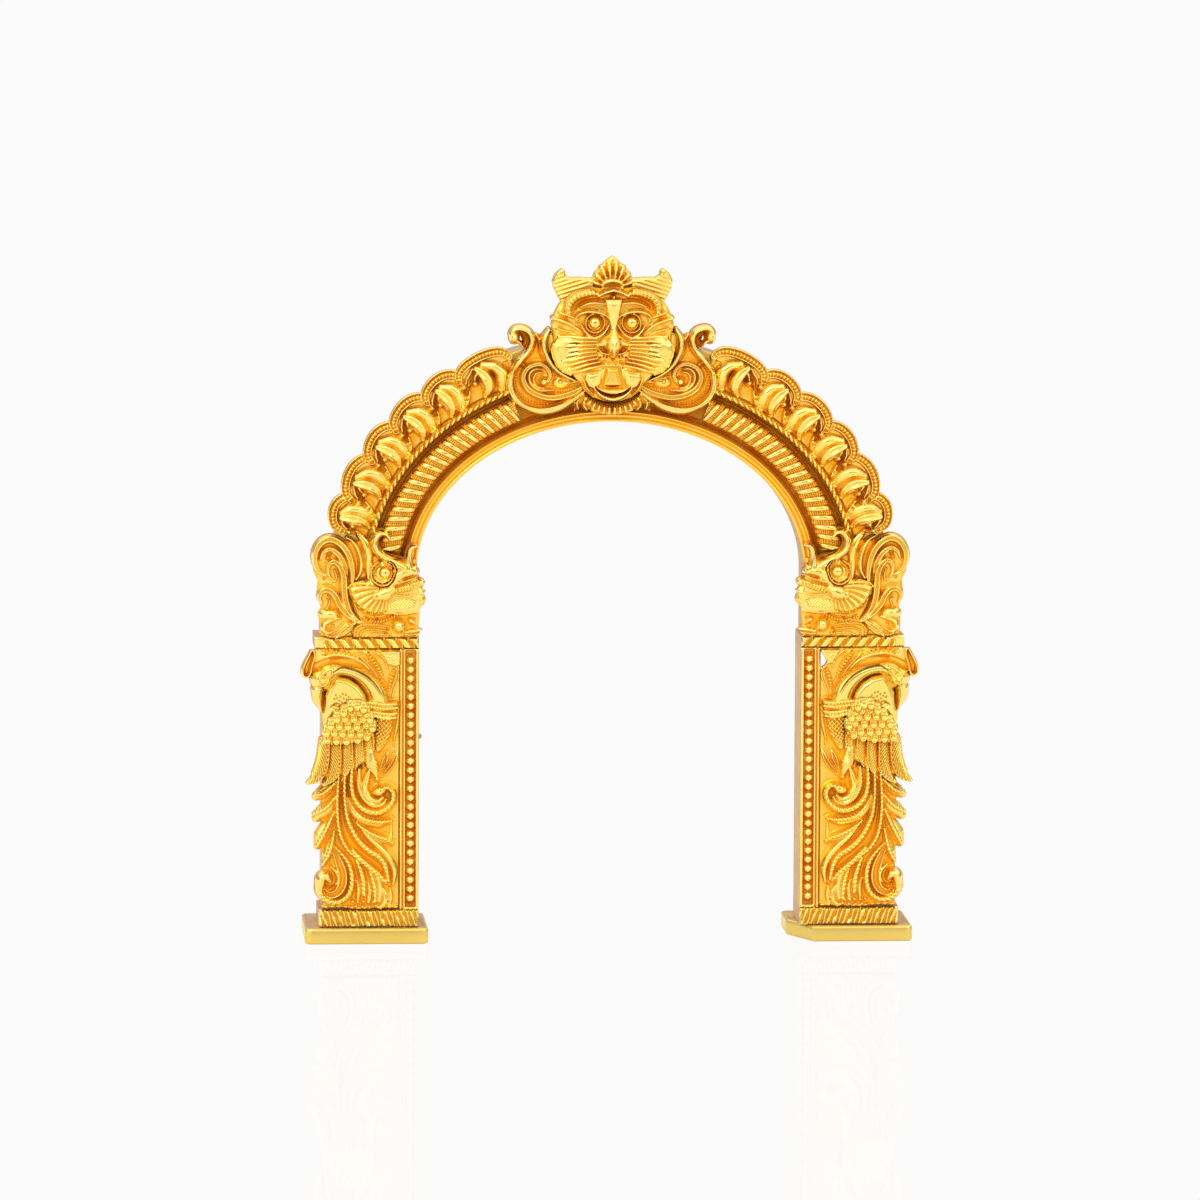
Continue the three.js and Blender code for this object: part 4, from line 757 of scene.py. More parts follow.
def crest_spray(pierced):
    """The crest loop outside the pillar and the notched sprays and beads between neck and
    capital."""
    field = Relief((PILLAR_INNER + 2.6, PILLAR_TOP - 10.2),
        (PILLAR_INNER + 21.0, PILLAR_TOP - 0.02), 0.09, OF_PILLAR)
    plate, strand, pits = field.plate, field.strand, field.pits
    plate((3.31, -0.1, 3.31, -9, 5.58, -8.62, 6.72, -5.97, 8.23, -3.89, 10.51, -2.18, 13.54, -1.42,
        16.95, -1.99, 18.75, -3.13, 18.56, 0.09), 0.7)
    plate((18.56, -0.1, 19.22, -1.14, 19.98, -2.75, 19.98, -4.17, 19.38, -4.36, 18.94, -3.51,
        18.75, -2.37, 18.32, -0.95), 1.0)
    strand((18.58, 0.09, 19.15, -0.95, 19.76, -2.09, 20.21, -3.22, 20.17, -4.3, 19.57, -4.68,
        18.98, -4.08, 18.71, -2.75, 18.32, -1.52, 18.24, -0.48), [0.3, 0.34, 0.36, 0.36, 0.34, 0.3],
        [2.0, 2.5, 2.6, 2.3], closed=True)
    plate((18.75, -1.14, 16.38, -0.76, 14.49, -2.56, 16.38, -4.27, 18.56, -4.46, 19.04, -3.41), 0.9)
    plate((18.85, 0.66, 19.22, 1.04, 18.85, 1.38, 16.95, -0.1, 16.38, -1.23, 18.09, -2.37,
        18.32, -0.67), 1.5)
    strand((17.67, -1.84, 16.38, -1.27, 14.68, -0.89, 12.78, -1.08, 11.27, -1.52, 9.75, -2.37,
        8.71, -3.41), [0.4, 0.42, 0.42, 0.4, 0.3], 1.5)
    strand((16.95, -0.59, 15.43, -0.4, 13.73, -0.44, 12.02, -0.82, 10.22, -1.42), 0.34, 1.8,
        beaded(0.86, 0.36))
    plate((6.76, -0.29, 3.31, -0.29, 3.31, -2.65, 4.29, -2.9, 5.49, -2.56, 5.96, -1.61), 1.7)
    strand((7.48, -0.44, 6.3, -1.42, 5.71, -2.56, 5.49, -3.41), [0.3, 0.3, 0.2], 1.2)
    strand((9.14, -0.48, 8.23, -1.52, 7.25, -2.94, 6.53, -4.36, 6.11, -5.4),
        [0.3, 0.55, 0.55, 0.42, 0.15], [2.1, 2.3, 2.1, 1.7], barbed(0.62, 0.35, 0.3))
    strand((4.29, -3.32, 4.67, -4.46, 5.01, -5.74, 5.24, -7.2), [0.3, 0.55, 0.42, 0.12],
        [2.1, 2.3, 1.8], barbed(0.62, -0.35, 0.3))
    strand((3.97, -3.22, 3.53, -4.46, 3.97, -5.97, 4.54, -7.49, 4.73, -8.81),
        [0.15, 0.22, 0.22, 0.12], 1.3)
    strand((10.51, -0.95, 8.99, -2.37, 7.67, -4.08, 6.53, -6.16, 5.77, -8.25),
        [0.15, 0.22, 0.25, 0.2], 1.4)
    pits((5.49, -1.42, 5.01, -0.95, 4.44, -1.99, 5.81, -5.18), 0.2, 0.25)
    pits((5.87, -5.21), 0.32, 0.5)
    if pierced:
        field.opening(PILLAR_WINDOW)
    return solid_of(field.finish(), PILLAR_FRONT - 2 * LAYER)


def tail_plumes():
    """Falling plumes with notched crests and smooth flanks, leaf lobes along the outer edge, two
    volutes."""
    field = Relief((PILLAR_INNER + 3.2, PILLAR_BASE + 0.1),
        (PILLAR_INNER + 20.2, PILLAR_TOP - 20.6), 0.075, OF_PILLAR)
    strand, ball = field.strand, field.ball
    field.plate((3.33, -45.29, 3.33, -20.89, 11.4, -20.89, 14.61, -22.29, 15.21, -23.5,
        17.82, -24.3, 16.82, -26.91, 17.62, -29.12, 16.62, -30.32, 17.62, -33.13, 16.62, -35.94,
        16.62, -38.55, 17.82, -40.15, 17.82, -42.16, 16.62, -44.17, 16.62, -45.29), 0.6)
    strand((4.78, -30.72, 4.82, -32.33, 4.72, -34.33), [0.3, 0.5, 0.3], 1.1)
    lobes = (
        ((14.61, -23.4, 16.21, -24.6, 17.22, -25.34, 17.82, -25.66), [0.5, 1.15, 1.2, 0.85],
            (14.57, -23.09, 15.71, -24.26, 16.92, -25.1, 18.1, -25.34)),
        ((14.61, -26.41, 16.11, -27.91, 17.22, -28.81, 17.82, -29.48), [0.5, 1.3, 1.35, 0.8],
            (14.61, -25.7, 15.91, -27.27, 17.02, -28.07, 18.26, -28.75)),
        ((14.77, -29.12, 16.11, -31.12, 17.06, -32.83, 17.66, -34.45), [0.4, 1.2, 1.4, 0.65],
            (14.81, -28.35, 15.71, -30.42, 16.58, -32.23, 17.7, -34.33)),
        ((14.81, -32.23, 15.51, -34.33, 16.01, -36.14, 16.45, -37.58), [0.4, 0.95, 1.0, 0.5],
            (14.77, -31.82, 15.17, -33.93, 15.77, -35.94, 16.62, -37.42)),
    )
    for leaf, half, crest in lobes:
        strand(leaf, half, [1.4, 1.75, 1.7, 1.3])
        strand(crest, [0.45, 0.75, 0.75, 0.4], [2.0, 2.5, 2.5, 1.9], crested(0.78, 0.44))
    strand((12.5, -25.7, 11.4, -28.21, 9.89, -29.48, 8.19, -30.02, 6.58, -30.16, 4.88, -29.96),
        [0.4, 0.8, 1.1, 1.2, 1.15, 0.5], [1.6, 1.9, 2.0, 1.9, 1.6])
    strand((11.4, -27.81, 9.89, -29.36, 8.19, -29.92, 6.58, -30.08, 4.82, -29.92),
        [0.4, 0.7, 0.8, 0.75, 0.4], [1.8, 2.4, 2.5, 2.0], crested(0.78, 0.5))
    strand((10.6, -30.72, 8.99, -32.03, 7.38, -32.83, 5.78, -33.43, 4.57, -34.03),
        [0.4, 0.9, 1.05, 0.95, 0.35], [1.5, 1.7, 1.7, 1.4])
    strand((10.8, -30.42, 8.99, -31.72, 7.38, -32.53, 5.78, -33.13, 4.53, -33.83),
        [0.35, 0.65, 0.75, 0.7, 0.4], [1.8, 2.3, 2.4, 1.9], crested(0.76, 0.46))
    strand((8.59, -20.89, 9.35, -23.5, 9.23, -24.9, 8.35, -26.11, 7.18, -26.41, 6.28, -25.8),
        [0.5, 0.75, 0.85, 0.85, 0.75, 0.4], [1.9, 2.2, 2.2, 1.9])
    strand((10.39, -20.89, 10.49, -23.09, 10.09, -24.9, 9.19, -26.31, 7.79, -27.21, 6.38, -27.01,
        5.68, -26.11), [0.42, 0.6, 0.7, 0.74, 0.74, 0.6, 0.35], [1.8, 2.0, 2.0, 1.7])
    strand((11.7, -20.89, 11.8, -23.09, 11.7, -24.3, 11.36, -25.7, 10.39, -27.21, 8.99, -28.11,
        7.38, -28.41, 5.98, -27.91, 4.78, -26.71, 4.47, -25.34, 4.98, -24.34, 5.82, -23.94),
        [0.52, 0.68, 0.74, 0.8, 0.88, 0.92, 0.94, 0.94, 0.9, 0.78, 0.6], [2.3, 2.6, 2.7, 2.7, 2.5],
        crested(0.8, 0.62))
    ball((6.86, -24.62), 1.05, 3.0, stretch=1.45, lean=-22)
    strand((10.9, -30.12, 8.79, -32.73, 6.78, -34.63, 5.14, -36.58, 4.27, -38.75, 4.47, -41.16),
        [0.2, 0.55, 0.75, 0.8, 0.7, 0.35], [1.7, 2.0, 2.0, 1.7])
    strand((14.01, -21.89, 14.17, -25.1, 14.21, -27.71, 14.05, -30.12, 13.65, -32.33, 12.96, -33.93,
        12, -35.34, 10.6, -36.54), [0.46, 0.56, 0.62, 0.7, 0.76, 0.7, 0.4],
        [2.0, 2.4, 2.4, 2.3, 1.8], crested(0.78, 0.46))
    strand((12.92, -21.89, 12.98, -24.3, 12.88, -26.71, 12.48, -29.32, 11.48, -31.72, 10.15, -33.73,
        8.47, -35.22, 7.02, -36.14, 6.06, -37.38, 5.54, -38.95, 5.26, -40.47),
        [0.48, 0.56, 0.62, 0.76, 0.95, 1.08, 1.1, 0.95, 0.45], [2.4, 2.6, 2.8, 2.8, 2.7, 2.2],
        crested(0.8, 0.56))
    strand((11.4, -35.14, 9.79, -36.94, 8.19, -38.35, 6.78, -39.55, 5.68, -40.86),
        [0.5, 0.95, 1.1, 0.95, 0.5], [1.7, 2.2, 2.2, 1.7], crested(0.8, 0.6))
    strand((10.8, -36.94, 10.09, -38.75, 9.63, -40.76, 9.55, -42.86), [0.5, 0.85, 1.0, 0.75],
        [1.9, 2.3, 2.3, 1.9], crested(0.8, 0.52))
    strand((8.79, -38.35, 8.03, -40.15, 7.62, -42.16, 7.58, -43.97), [0.4, 0.75, 0.9, 0.6],
        [1.7, 2.0, 1.9], crested(0.78, 0.46))
    strand((8.09, -38.55, 7.08, -40.15, 6.74, -41.96, 6.88, -43.97), [0.35, 0.66, 0.8, 0.6], 1.7)
    strand((8.79, -40.76, 8.55, -42.36, 8.71, -43.97), [0.35, 0.6, 0.5], [1.5, 1.9, 1.6])
    strand((15.01, -34.83, 14.01, -36.94, 13.36, -38.95, 13.36, -40.96, 14.21, -42.46,
        15.51, -42.86, 16.45, -42.06), [0.35, 0.75, 0.95, 1.0, 0.95, 0.8, 0.4],
        [1.5, 1.9, 2.0, 1.8], dished)
    strand((14.71, -34.33, 13.2, -35.94, 12.16, -37.54, 11.68, -39.35, 11.7, -41.16, 12.28, -42.86,
        13.61, -43.97, 15.05, -44.13, 16.37, -43.48, 17.3, -42.16, 17.34, -40.86),
        [0.4, 0.55, 0.68, 0.8, 0.86, 0.9, 0.92, 0.94, 0.92, 0.84], [1.9, 2.2, 2.5, 2.6, 2.6],
        crested(0.8, 0.58))
    strand((17.26, -42.16, 17.18, -40.92, 16.88, -39.85, 16.17, -39.63, 15.49, -40.43),
        [0.8, 1.0, 1.15, 1.1, 0.5], [2.4, 2.8, 3.0, 2.6])
    strand((15.41, -37.85, 14.37, -38.95, 14.05, -40.15, 14.51, -41.16), [0.2, 0.4, 0.4, 0.2], 2.0)
    strand((16.25, -41.16, 15.61, -41.66, 14.71, -41.26), [0.1, 0.22, 0.1], 0.9, mode="cut")
    strand((6.28, -41.66, 5.82, -43.16, 5.94, -44.37, 6.68, -45.13), [0.3, 0.66, 0.75, 0.55],
        [1.4, 1.7, 1.5])
    strand((4.98, -41.66, 4.88, -43.16, 5.18, -44.97), [0.3, 0.6, 0.5], 1.5)
    strand((10.8, -40.35, 10.47, -41.76, 10.6, -43.56), [0.3, 0.6, 0.5], 1.7)
    ball((11.5, -44.07, 10.6, -44.17, 9.63, -44.09, 8.79, -44.21, 7.89, -44.17, 10.9, -44.93,
        9.79, -45.01, 8.59, -44.97, 7.54, -44.81), 0.45, 1.8)
    strand((16.62, -45.05, 13.61, -44.97, 10.19, -45.25, 6.98, -45.09, 3.77, -45.13), 0.3, 1.4,
        barbed(1.1, 0.0, 0.2))
    field.pits((5.58, -43.56, 5.34, -44.17, 10.19, -44.57, 7.89, -44.57, 8.59, -43.16,
        14.05, -39.15, 15.71, -40.31, 6.74, -24.5, 9.23, -44.61), 0.2, 0.4)
    return solid_of(field.finish(), PILLAR_FRONT - 3 * LAYER)


# Water beast, drawn from the springing of the arch


def beast_head():
    """Trunk, tusk, ringed eye, fluted gum, ribbed cheek, scaled jaw and the knots on the
    capital."""
    low, high = (HALF_SPAN - 1.9, LEG_BASE + 0.02), (HALF_SPAN + 12.2, SPRINGING + 8.7)
    field = Relief(low, high, 0.08, OF_SPRINGING)
    plate, strand, ball, pits = field.plate, field.strand, field.ball, field.pits
    plate((-0.24, -10.78, 10.9, -10.78, 11.3, -9.41, 9.69, -7.81, 10.9, -5.8, 12.1, -2.39,
        10.9, -1.38, 8.29, -0.58, 8.09, 3.43, 4.07, 3.43, -0.04, 2.83, -0.14, 0.62, -0.94, -0.98,
        -0.74, -4.59), 1.3)
    plate((8.29, -0.98, 7.79, 1.02, 6.08, 2.63, 4.07, 2.83, 2.07, 1.73, 0.26, 1.43, -0.1, -0.58,
        -1.38, -2.69, -0.94, -4.39, -0.44, -6.4, 2.07, -6.8, 6.08, -6.6, 9.29, -6, 11.3, -3.79,
        10.9, -1.99), 2.7, 0.9)
    fan = Relief(low, high, 0.08, OF_SPRINGING)
    fan.plate((6.48, -1.48, 8.09, -0.82, 9.69, -0.82, 11.4, -1.28, 12.06, -2.03, 11.66, -3.39,
        11.06, -4.59, 10.1, -5.64, 8.89, -6.44, 7.49, -6.84, 6.08, -6.72, 4.68, -6.2, 4.48, -4.59,
        5.08, -2.99), 3.35, 1.0)
    x, z = np.meshgrid(fan.x, fan.z)
    centre = field.placed((4.88, -2.39))[0]
    turn = np.arctan2(z - centre[1], x - centre[0]) + 0.05 * np.hypot(x - centre[0], z - centre[1])
    ribs = 0.62 * np.abs(np.sin(13.5 * turn)) ** 0.8 * ease((fan.reach - 0.1) / 0.5)
    field.put((slice(None), slice(None)), fan.reach, fan.height - 0.62 + ribs, "merge")
    strand((6.08, -5.8, 4.28, -5.2, 2.47, -4.9, 0.86, -4.7, -0.44, -4.19),
        [0.9, 1.5, 1.9, 1.9, 1.2], [2.8, 3.1, 3.1, 2.7], scaled(0.56, 0.16), base=1.2)
    strand((4.28, -3.09, 2.07, -3.39, 0.26, -3.23, -1.5, -2.71), [0.35, 0.45, 0.4, 0.1],
        [3.1, 3.2, 2.8])
    strand((9.29, -7.2, 7.69, -7.85, 5.88, -7.85, 4.07, -7.16, 2.37, -6.4),
        [0.3, 0.45, 0.5, 0.4, 0.25], 2.4, barbed(0.5, 0.5, 0.25))
    strand((7.19, -7.16, 5.48, -6.84, 3.47, -5.96, 0.86, -5.3), [0.3, 0.5, 0.5, 0.3], 2.2,
        scaled(0.4, 0.16))
    strand((4.38, -2.43, 2.37, -1.99, 0.56, -1.54, -0.74, -1.18), [0.8, 0.95, 1.1, 0.75],
        [3.3, 3.5, 2.9], barbed(0.55, 0.0, 0.12), base=1.4)
    strand((3.97, -2.15, 2.47, -1.83, 0.86, -1.48), [0.2, 0.3, 0.3], 3.8, beaded(0.5, 0.24))
    strand((4.28, -1.38, 2.37, -0.82, 0.86, -0.34, -0.38, 0.06), [0.2, 0.24, 0.2, 0.1], 3.9)
    plate((6.28, 4.2, 5.08, 3.59, 3.67, 3.19, 2.07, 2.19, 1.16, 1.59, 0.1, 1.99, -0.18, 0.92,
        0.26, 0.02, 2.07, -0.38, 4.07, -1.18, 3.57, 0.82, 4.48, 2.53, 6.08, 3.23), 4.0, 1.5)
    strand((4.52, -1.48, 2.87, 0.42, 1.06, 0.78, 0.22, 0.7), [1.1, 1.7, 1.4, 0.8], [3.6, 4.3, 4.1])
    strand((7.04, -3.39, 6.08, -3.11, 5.08, -2.71, 4.24, -2.19), [0.9, 1.3, 1.35, 0.8],
        [3.9, 4.4, 4.3, 3.9], base=2.6)
    strand((4.72, 6.44, 5.38, 7.37, 6.38, 7.45, 7.12, 6.64, 7.25, 5.44, 6.78, 4.32, 5.64, 3.43,
        3.97, 2.51, 2.27, 1.47), [0.55, 0.72, 0.84, 0.88, 0.88, 0.95, 1.1, 1.4, 1.5],
        [3.0, 3.4, 3.9, 4.3, 4.5])
    ball((4.84, 6.74), 0.55, 3.2)
    strand((1.27, 1.23, 1.47, 2.63, 1.39, 3.93, 0.94, 4.94, 0.26, 5.28), [0.95, 0.78, 0.66, 0.6,
        0.5], [4.0, 3.6, 3.4])
    ball((6.08, 0.42), 2.15, 2.6, base=1.4)
    strand((3.97, 1.43, 4.11, -0.18, 4.98, -1.28, 6.28, -1.54, 7.53, -0.74, 7.93, 0.62, 7.53, 1.87,
        6.38, 2.53), [0.2, 0.26, 0.28, 0.28, 0.28, 0.28, 0.24, 0.12], [3.6, 3.5, 3.4], mode="over")
    strand((5.48, 2.79, 4.38, 2.39, 3.77, 1.33, 3.97, 0.02), [0.12, 0.24, 0.24, 0.12], 4.0,
        mode="over")
    ball((5.84, 0.5), 1.35, 3.1, base=2.6, mode="over")
    ball((5.52, 0.74), 1.0, 4.3, base=3.2)
    pits((6.98, -3.35, 5.48, 0.78, 2.77, -7.85, 1.02, -8.17, 0.7, -7.6), 0.2, 0.4)
    pits((3.03, 1.39), 0.3, 0.35)
    ball((3.07, -8.71), 1.4, 3.3, stretch=1.1, lean=60)
    ball((0.86, -7.91), 0.7, 2.3, stretch=1.5, lean=40)
    strand((1.87, -9.81, 0.56, -9.57, -0.9, -9.51), [0.55, 0.6, 0.2], [2.5, 2.4, 2.0])
    strand((2.07, -10.31, 0.86, -10.31, -0.34, -10.11), [0.2, 0.3, 0.3], 2.0)
    strand((10.7, -10.62, 10.66, -9.41, 9.79, -8.61, 8.09, -8.47, 6.08, -8.61, 4.88, -8.91),
        [0.3, 0.34, 0.34, 0.3, 0.2], 2.3, barbed(0.42, 0.0, 0.14))
    strand((9.79, -10.62, 9.53, -9.77, 8.49, -9.31, 6.68, -9.37, 5.08, -9.61),
        [0.24, 0.28, 0.28, 0.2], 2.1, barbed(0.42, 0.0, 0.14))
    strand((8.89, -10.62, 7.69, -10.11, 6.08, -10.17, 4.48, -10.31), [0.2, 0.26, 0.2], 1.9)
    pits((8.29, -7.65, 6.92, -7.56, 4.98, -9.41, 5.28, -10.01, 0.42, -7.6, 0.86, -8.41), 0.3, 0.7)
    return solid_of(field.finish(), ARCH_FRONT - 3 * LAYER)


def beast_plume():
    """Curling plumes of two and three parallel strands, and the leaves between them."""
    field = Relief((HALF_SPAN + 6.8, LEG_BASE + 0.02),
        (HALF_SPAN + 18.6, SPRINGING + 8.2), 0.08, OF_SPRINGING)
    strand, ball = field.strand, field.ball
    field.plate((10.9, -10.78, 16.56, -10.78, 16.88, -9.21, 16.88, -7.6, 16.42, -6.2, 16.88, -4.59,
        17.32, -2.99, 17.08, -0.98, 17.82, 0.62, 17.96, 3.83, 17.32, 5.64, 15.51, 7.04, 13.71, 6.84,
        11.7, 5.84, 9.69, 6.04, 8.09, 3.43, 8.29, -0.58, 10.9, -1.79, 10.9, -5.8, 9.29, -7.81,
        10.5, -9.21), 1.1, 0.9)
    strand((8.29, -0.58, 8.29, 1.83, 8.33, 4.03, 8.89, 5.84, 10.1, 7.25), [0.6, 1.1, 1.2, 1.1, 0.6],
        [1.7, 2.1, 2.1, 1.8])
    strand((10.46, -0.68, 9.73, 0.82, 9.65, 2.83, 10.3, 4.84, 11.2, 6.14, 12.3, 6.74),
        [0.3, 0.56, 0.62, 0.56, 0.42, 0.2], [2.2, 2.7, 2.6, 2.0])
    strand((11.14, -0.98, 11.14, 1.02, 11.7, 3.43, 13, 5.44, 14.81, 6.44, 16.42, 5.94, 17.48, 4.34,
        17.62, 2.53, 16.96, 0.92, 15.67, -0.02), [0.5, 0.75, 0.85, 0.88, 0.88, 0.85, 0.75, 0.6,
        0.3], [2.4, 2.9, 3.0, 3.0, 2.8, 2.2], ridged(2, 0.3))
    strand((12.1, 0.02, 12.5, 2.03, 13.61, 3.83, 14.91, 4.64, 16.12, 4.2, 16.68, 2.83),
        [0.4, 0.7, 0.75, 0.7, 0.5, 0.2], [2.2, 2.7, 2.7, 2.2], ridged(2, 0.3))
    strand((15.31, 3.33, 15.11, 3.73, 15.41, 3.03), 0.4, 0.6, mode="cut")
    strand((10.1, -8.01, 11.5, -6.4, 12.26, -4.39, 12.54, -2.39, 12.66, 0.02, 13.31, 1.73,
        14.31, 2.53, 15.21, 1.99, 15.35, 0.62, 14.87, -0.42), [0.5, 0.7, 0.85, 0.9, 0.9, 0.85, 0.7,
        0.6, 0.4, 0.2], [2.3, 2.9, 3.1, 3.1, 2.9, 2.3], ridged(2, 0.32))
    strand((14.21, 1.02, 13.87, -0.18, 14.21, -0.98, 14.67, -0.58), [0.2, 0.3, 0.25, 0.15], 1.9)
    strand((9.79, -8.17, 11.7, -6.9, 13.21, -5.2, 14.01, -3.59, 15.11, -2.49, 16.32, -2.59,
        16.88, -3.69, 16.42, -4.84), [0.4, 0.7, 0.85, 0.85, 0.8, 0.7, 0.55, 0.3],
        [2.3, 2.8, 3.0, 2.9, 2.2], ridged(2, 0.32))
    strand((10.1, -6.2, 10.9, -4.59, 11.4, -2.99, 11.7, -2.19), [0.2, 0.4, 0.3, 0.1], 2.0)
    strand((15.31, -3.39, 15.07, -4.59, 15.41, -5.5), [0.15, 0.35, 0.2], 1.7)
    ball((15.07, -6.72), 1.35, 2.7, stretch=1.5, lean=0)
    strand((13.21, -7.3, 14.51, -7.65, 15.75, -8.21, 16.12, -9.21, 15.41, -9.91, 14.31, -9.61),
        [0.3, 0.5, 0.6, 0.6, 0.5, 0.25], [1.9, 2.4, 2.4, 2.0])
    ball((14.55, -8.77), 0.4, 1.9)
    strand((10.66, -8.21, 11.94, -9.01, 13.11, -9.97, 13.81, -10.62), [0.5, 1.0, 1.0, 0.6],
        [2.1, 2.6, 2.4, 1.9], ridged(4, 0.26))
    strand((15.71, -10.41, 14.91, -10.66, 14.11, -10.62), [0.15, 0.25, 0.2], 1.5)
    field.pits((15.21, 3.63, 14.51, -8.71, 15.21, -3.89, 15.91, -0.38), 0.35, 0.5)
    return solid_of(field.finish(), ARCH_FRONT - LAYER)


# Mask and what surrounds it, drawn from the apex of the opening


def side_scroll():
    """A C scroll with a bulbed tip, the spiral inside it and the strand that bounds the face."""
    field = Relief((3.4, APEX + 0.6), (19.4, APEX + 17.4), 0.08, OF_APEX)
    plate, strand, ball, pits = field.plate, field.strand, field.ball, field.pits
    plate((16.15, 16.22, 12.56, 15.28, 10.07, 15.59, 7.88, 9.97, 5.07, 8.73, 4.14, 6.54, 6.32, 4.2,
        9.44, 2.48, 12.25, 2.02, 14.75, 2.64, 16.62, 4.04, 17.87, 6.23, 17.71, 8.73, 16.31, 11.22,
        15.06, 12.47), 0.9)
    plate((12.25, 15.12, 10.22, 15.75, 9.44, 13.1, 10.69, 11.85), 1.8)
    strand((15.62, 13.25, 16.15, 13.97, 17.18, 14.41, 17.56, 15.34, 16.87, 16.22, 15.62, 16.28,
        14.37, 15.59, 13.94, 14.19, 14.5, 12.53, 15.68, 11.07, 16.93, 9.41, 17.71, 7.63, 17.68, 5.6,
        16.37, 3.73, 14.37, 2.55, 11.94, 2.11, 9.13, 2.73, 6.32, 4.29, 4.2, 5.85),
        [0.3, 0.5, 0.75, 0.78, 0.78, 0.7, 0.68, 0.72, 0.78, 0.85, 0.95, 0.95, 0.9, 0.7, 0.35],
        [3.0, 3.3, 3.3, 3.1, 3.1, 3.2, 3.2, 3.0, 2.4])
    strand((14.25, 13.16, 14.68, 12.1, 16.12, 10.79, 17.06, 9.41, 17.46, 7.48, 17.24, 5.6,
        16.31, 3.98, 14.75, 2.86, 12.25, 2.42, 9.44, 2.92, 6.94, 4.04, 4.7, 5.6),
        [0.15, 0.24, 0.26, 0.26, 0.24, 0.15], [3.2, 3.5, 3.5, 3.5, 3.4, 2.8])
    ball((16.99, 14.81), 1.05, 3.7, stretch=1.3, lean=90)
    strand((15.93, 15.09, 15.43, 14.5, 15.62, 13.41), [0.15, 0.26, 0.12], 1.2, mode="cut")
    strand((15.12, 11.28, 16.15, 9.72, 16.74, 7.79, 16.56, 5.92, 15.43, 4.36, 13.5, 3.36, 11, 3.26),
        0.24, 1.7, beaded(0.5, 0.2))
    strand((4.29, 6.67, 6.63, 5.23, 9.75, 4.36, 12.41, 4.61, 14.59, 5.85, 15.43, 7.79, 14.68, 9.41,
        12.87, 10.1, 11.38, 9.54, 10.75, 8.26, 11.13, 7.17), [0.3, 0.7, 0.8, 0.8, 0.76, 0.74, 0.66,
        0.56, 0.46, 0.44, 0.4], [2.4, 2.9, 3.0, 3.0, 2.9, 2.8], ridged(2, 0.3))
    strand((10.07, 5.6, 12.56, 5.6, 14.06, 6.7, 14.37, 8.26, 13.5, 9.22, 12.25, 9.22),
        [0.2, 0.4, 0.42, 0.4, 0.36, 0.15], [2.2, 2.4, 2.4, 2.2])
    strand((11.78, 5.92, 13.03, 6.29, 13.62, 7.48, 13.19, 8.48, 12.09, 8.73),
        [0.2, 0.3, 0.3, 0.28, 0.12], [2.1, 2.2, 2.0])
    ball((11.84, 7.1), 0.85, 3.2)
    pits((11.84, 7.1), 0.2, 0.35)
    strand((11.06, 16.13, 11.78, 14.75, 11.91, 13.27, 11.44, 11.68, 10.51, 10.09, 9.24, 8.82,
        7.54, 7.85, 5.74, 7), [0.5, 0.8, 0.8, 0.68, 0.55, 0.48, 0.4, 0.2],
        [3.4, 4.0, 4.0, 3.5, 2.7])
    strand((13.19, 15.28, 12.5, 13.88, 12.25, 11.85, 11.78, 10.6), [0.25, 0.42, 0.4, 0.15],
        [2.0, 2.3, 1.8])
    ball((8.66, 6.92), 1.15, 1.9, base=0.9, stretch=1.5, lean=-8)
    ball((8.97, 7.07), 0.5, 2.6)
    pits((8.97, 7.07), 0.16, 0.3)
    strand((7.88, 6.79, 6.01, 6.98, 4.39, 6.54), [0.2, 0.34, 0.3], 2.1)
    strand((9.91, 7.95, 8.19, 7.54, 6.32, 7.29, 4.76, 7.1), [0.15, 0.24, 0.24, 0.15], 1.7)
    strand((10.07, 5.45, 7.88, 5.6, 5.7, 6.54), [0.1, 0.3, 0.15], 1.7, barbed(0.4, 0.4, 0.3))
    strand((6.01, 3.73, 5.07, 4.98, 3.95, 5.85), [0.3, 0.35, 0.2], 2.0)
    pits((4.7, 3.17, 15.06, 10.22, 15.62, 9.6), 0.3, 0.6)
    return solid_of(field.finish(), ARCH_FRONT - 4 * LAYER)


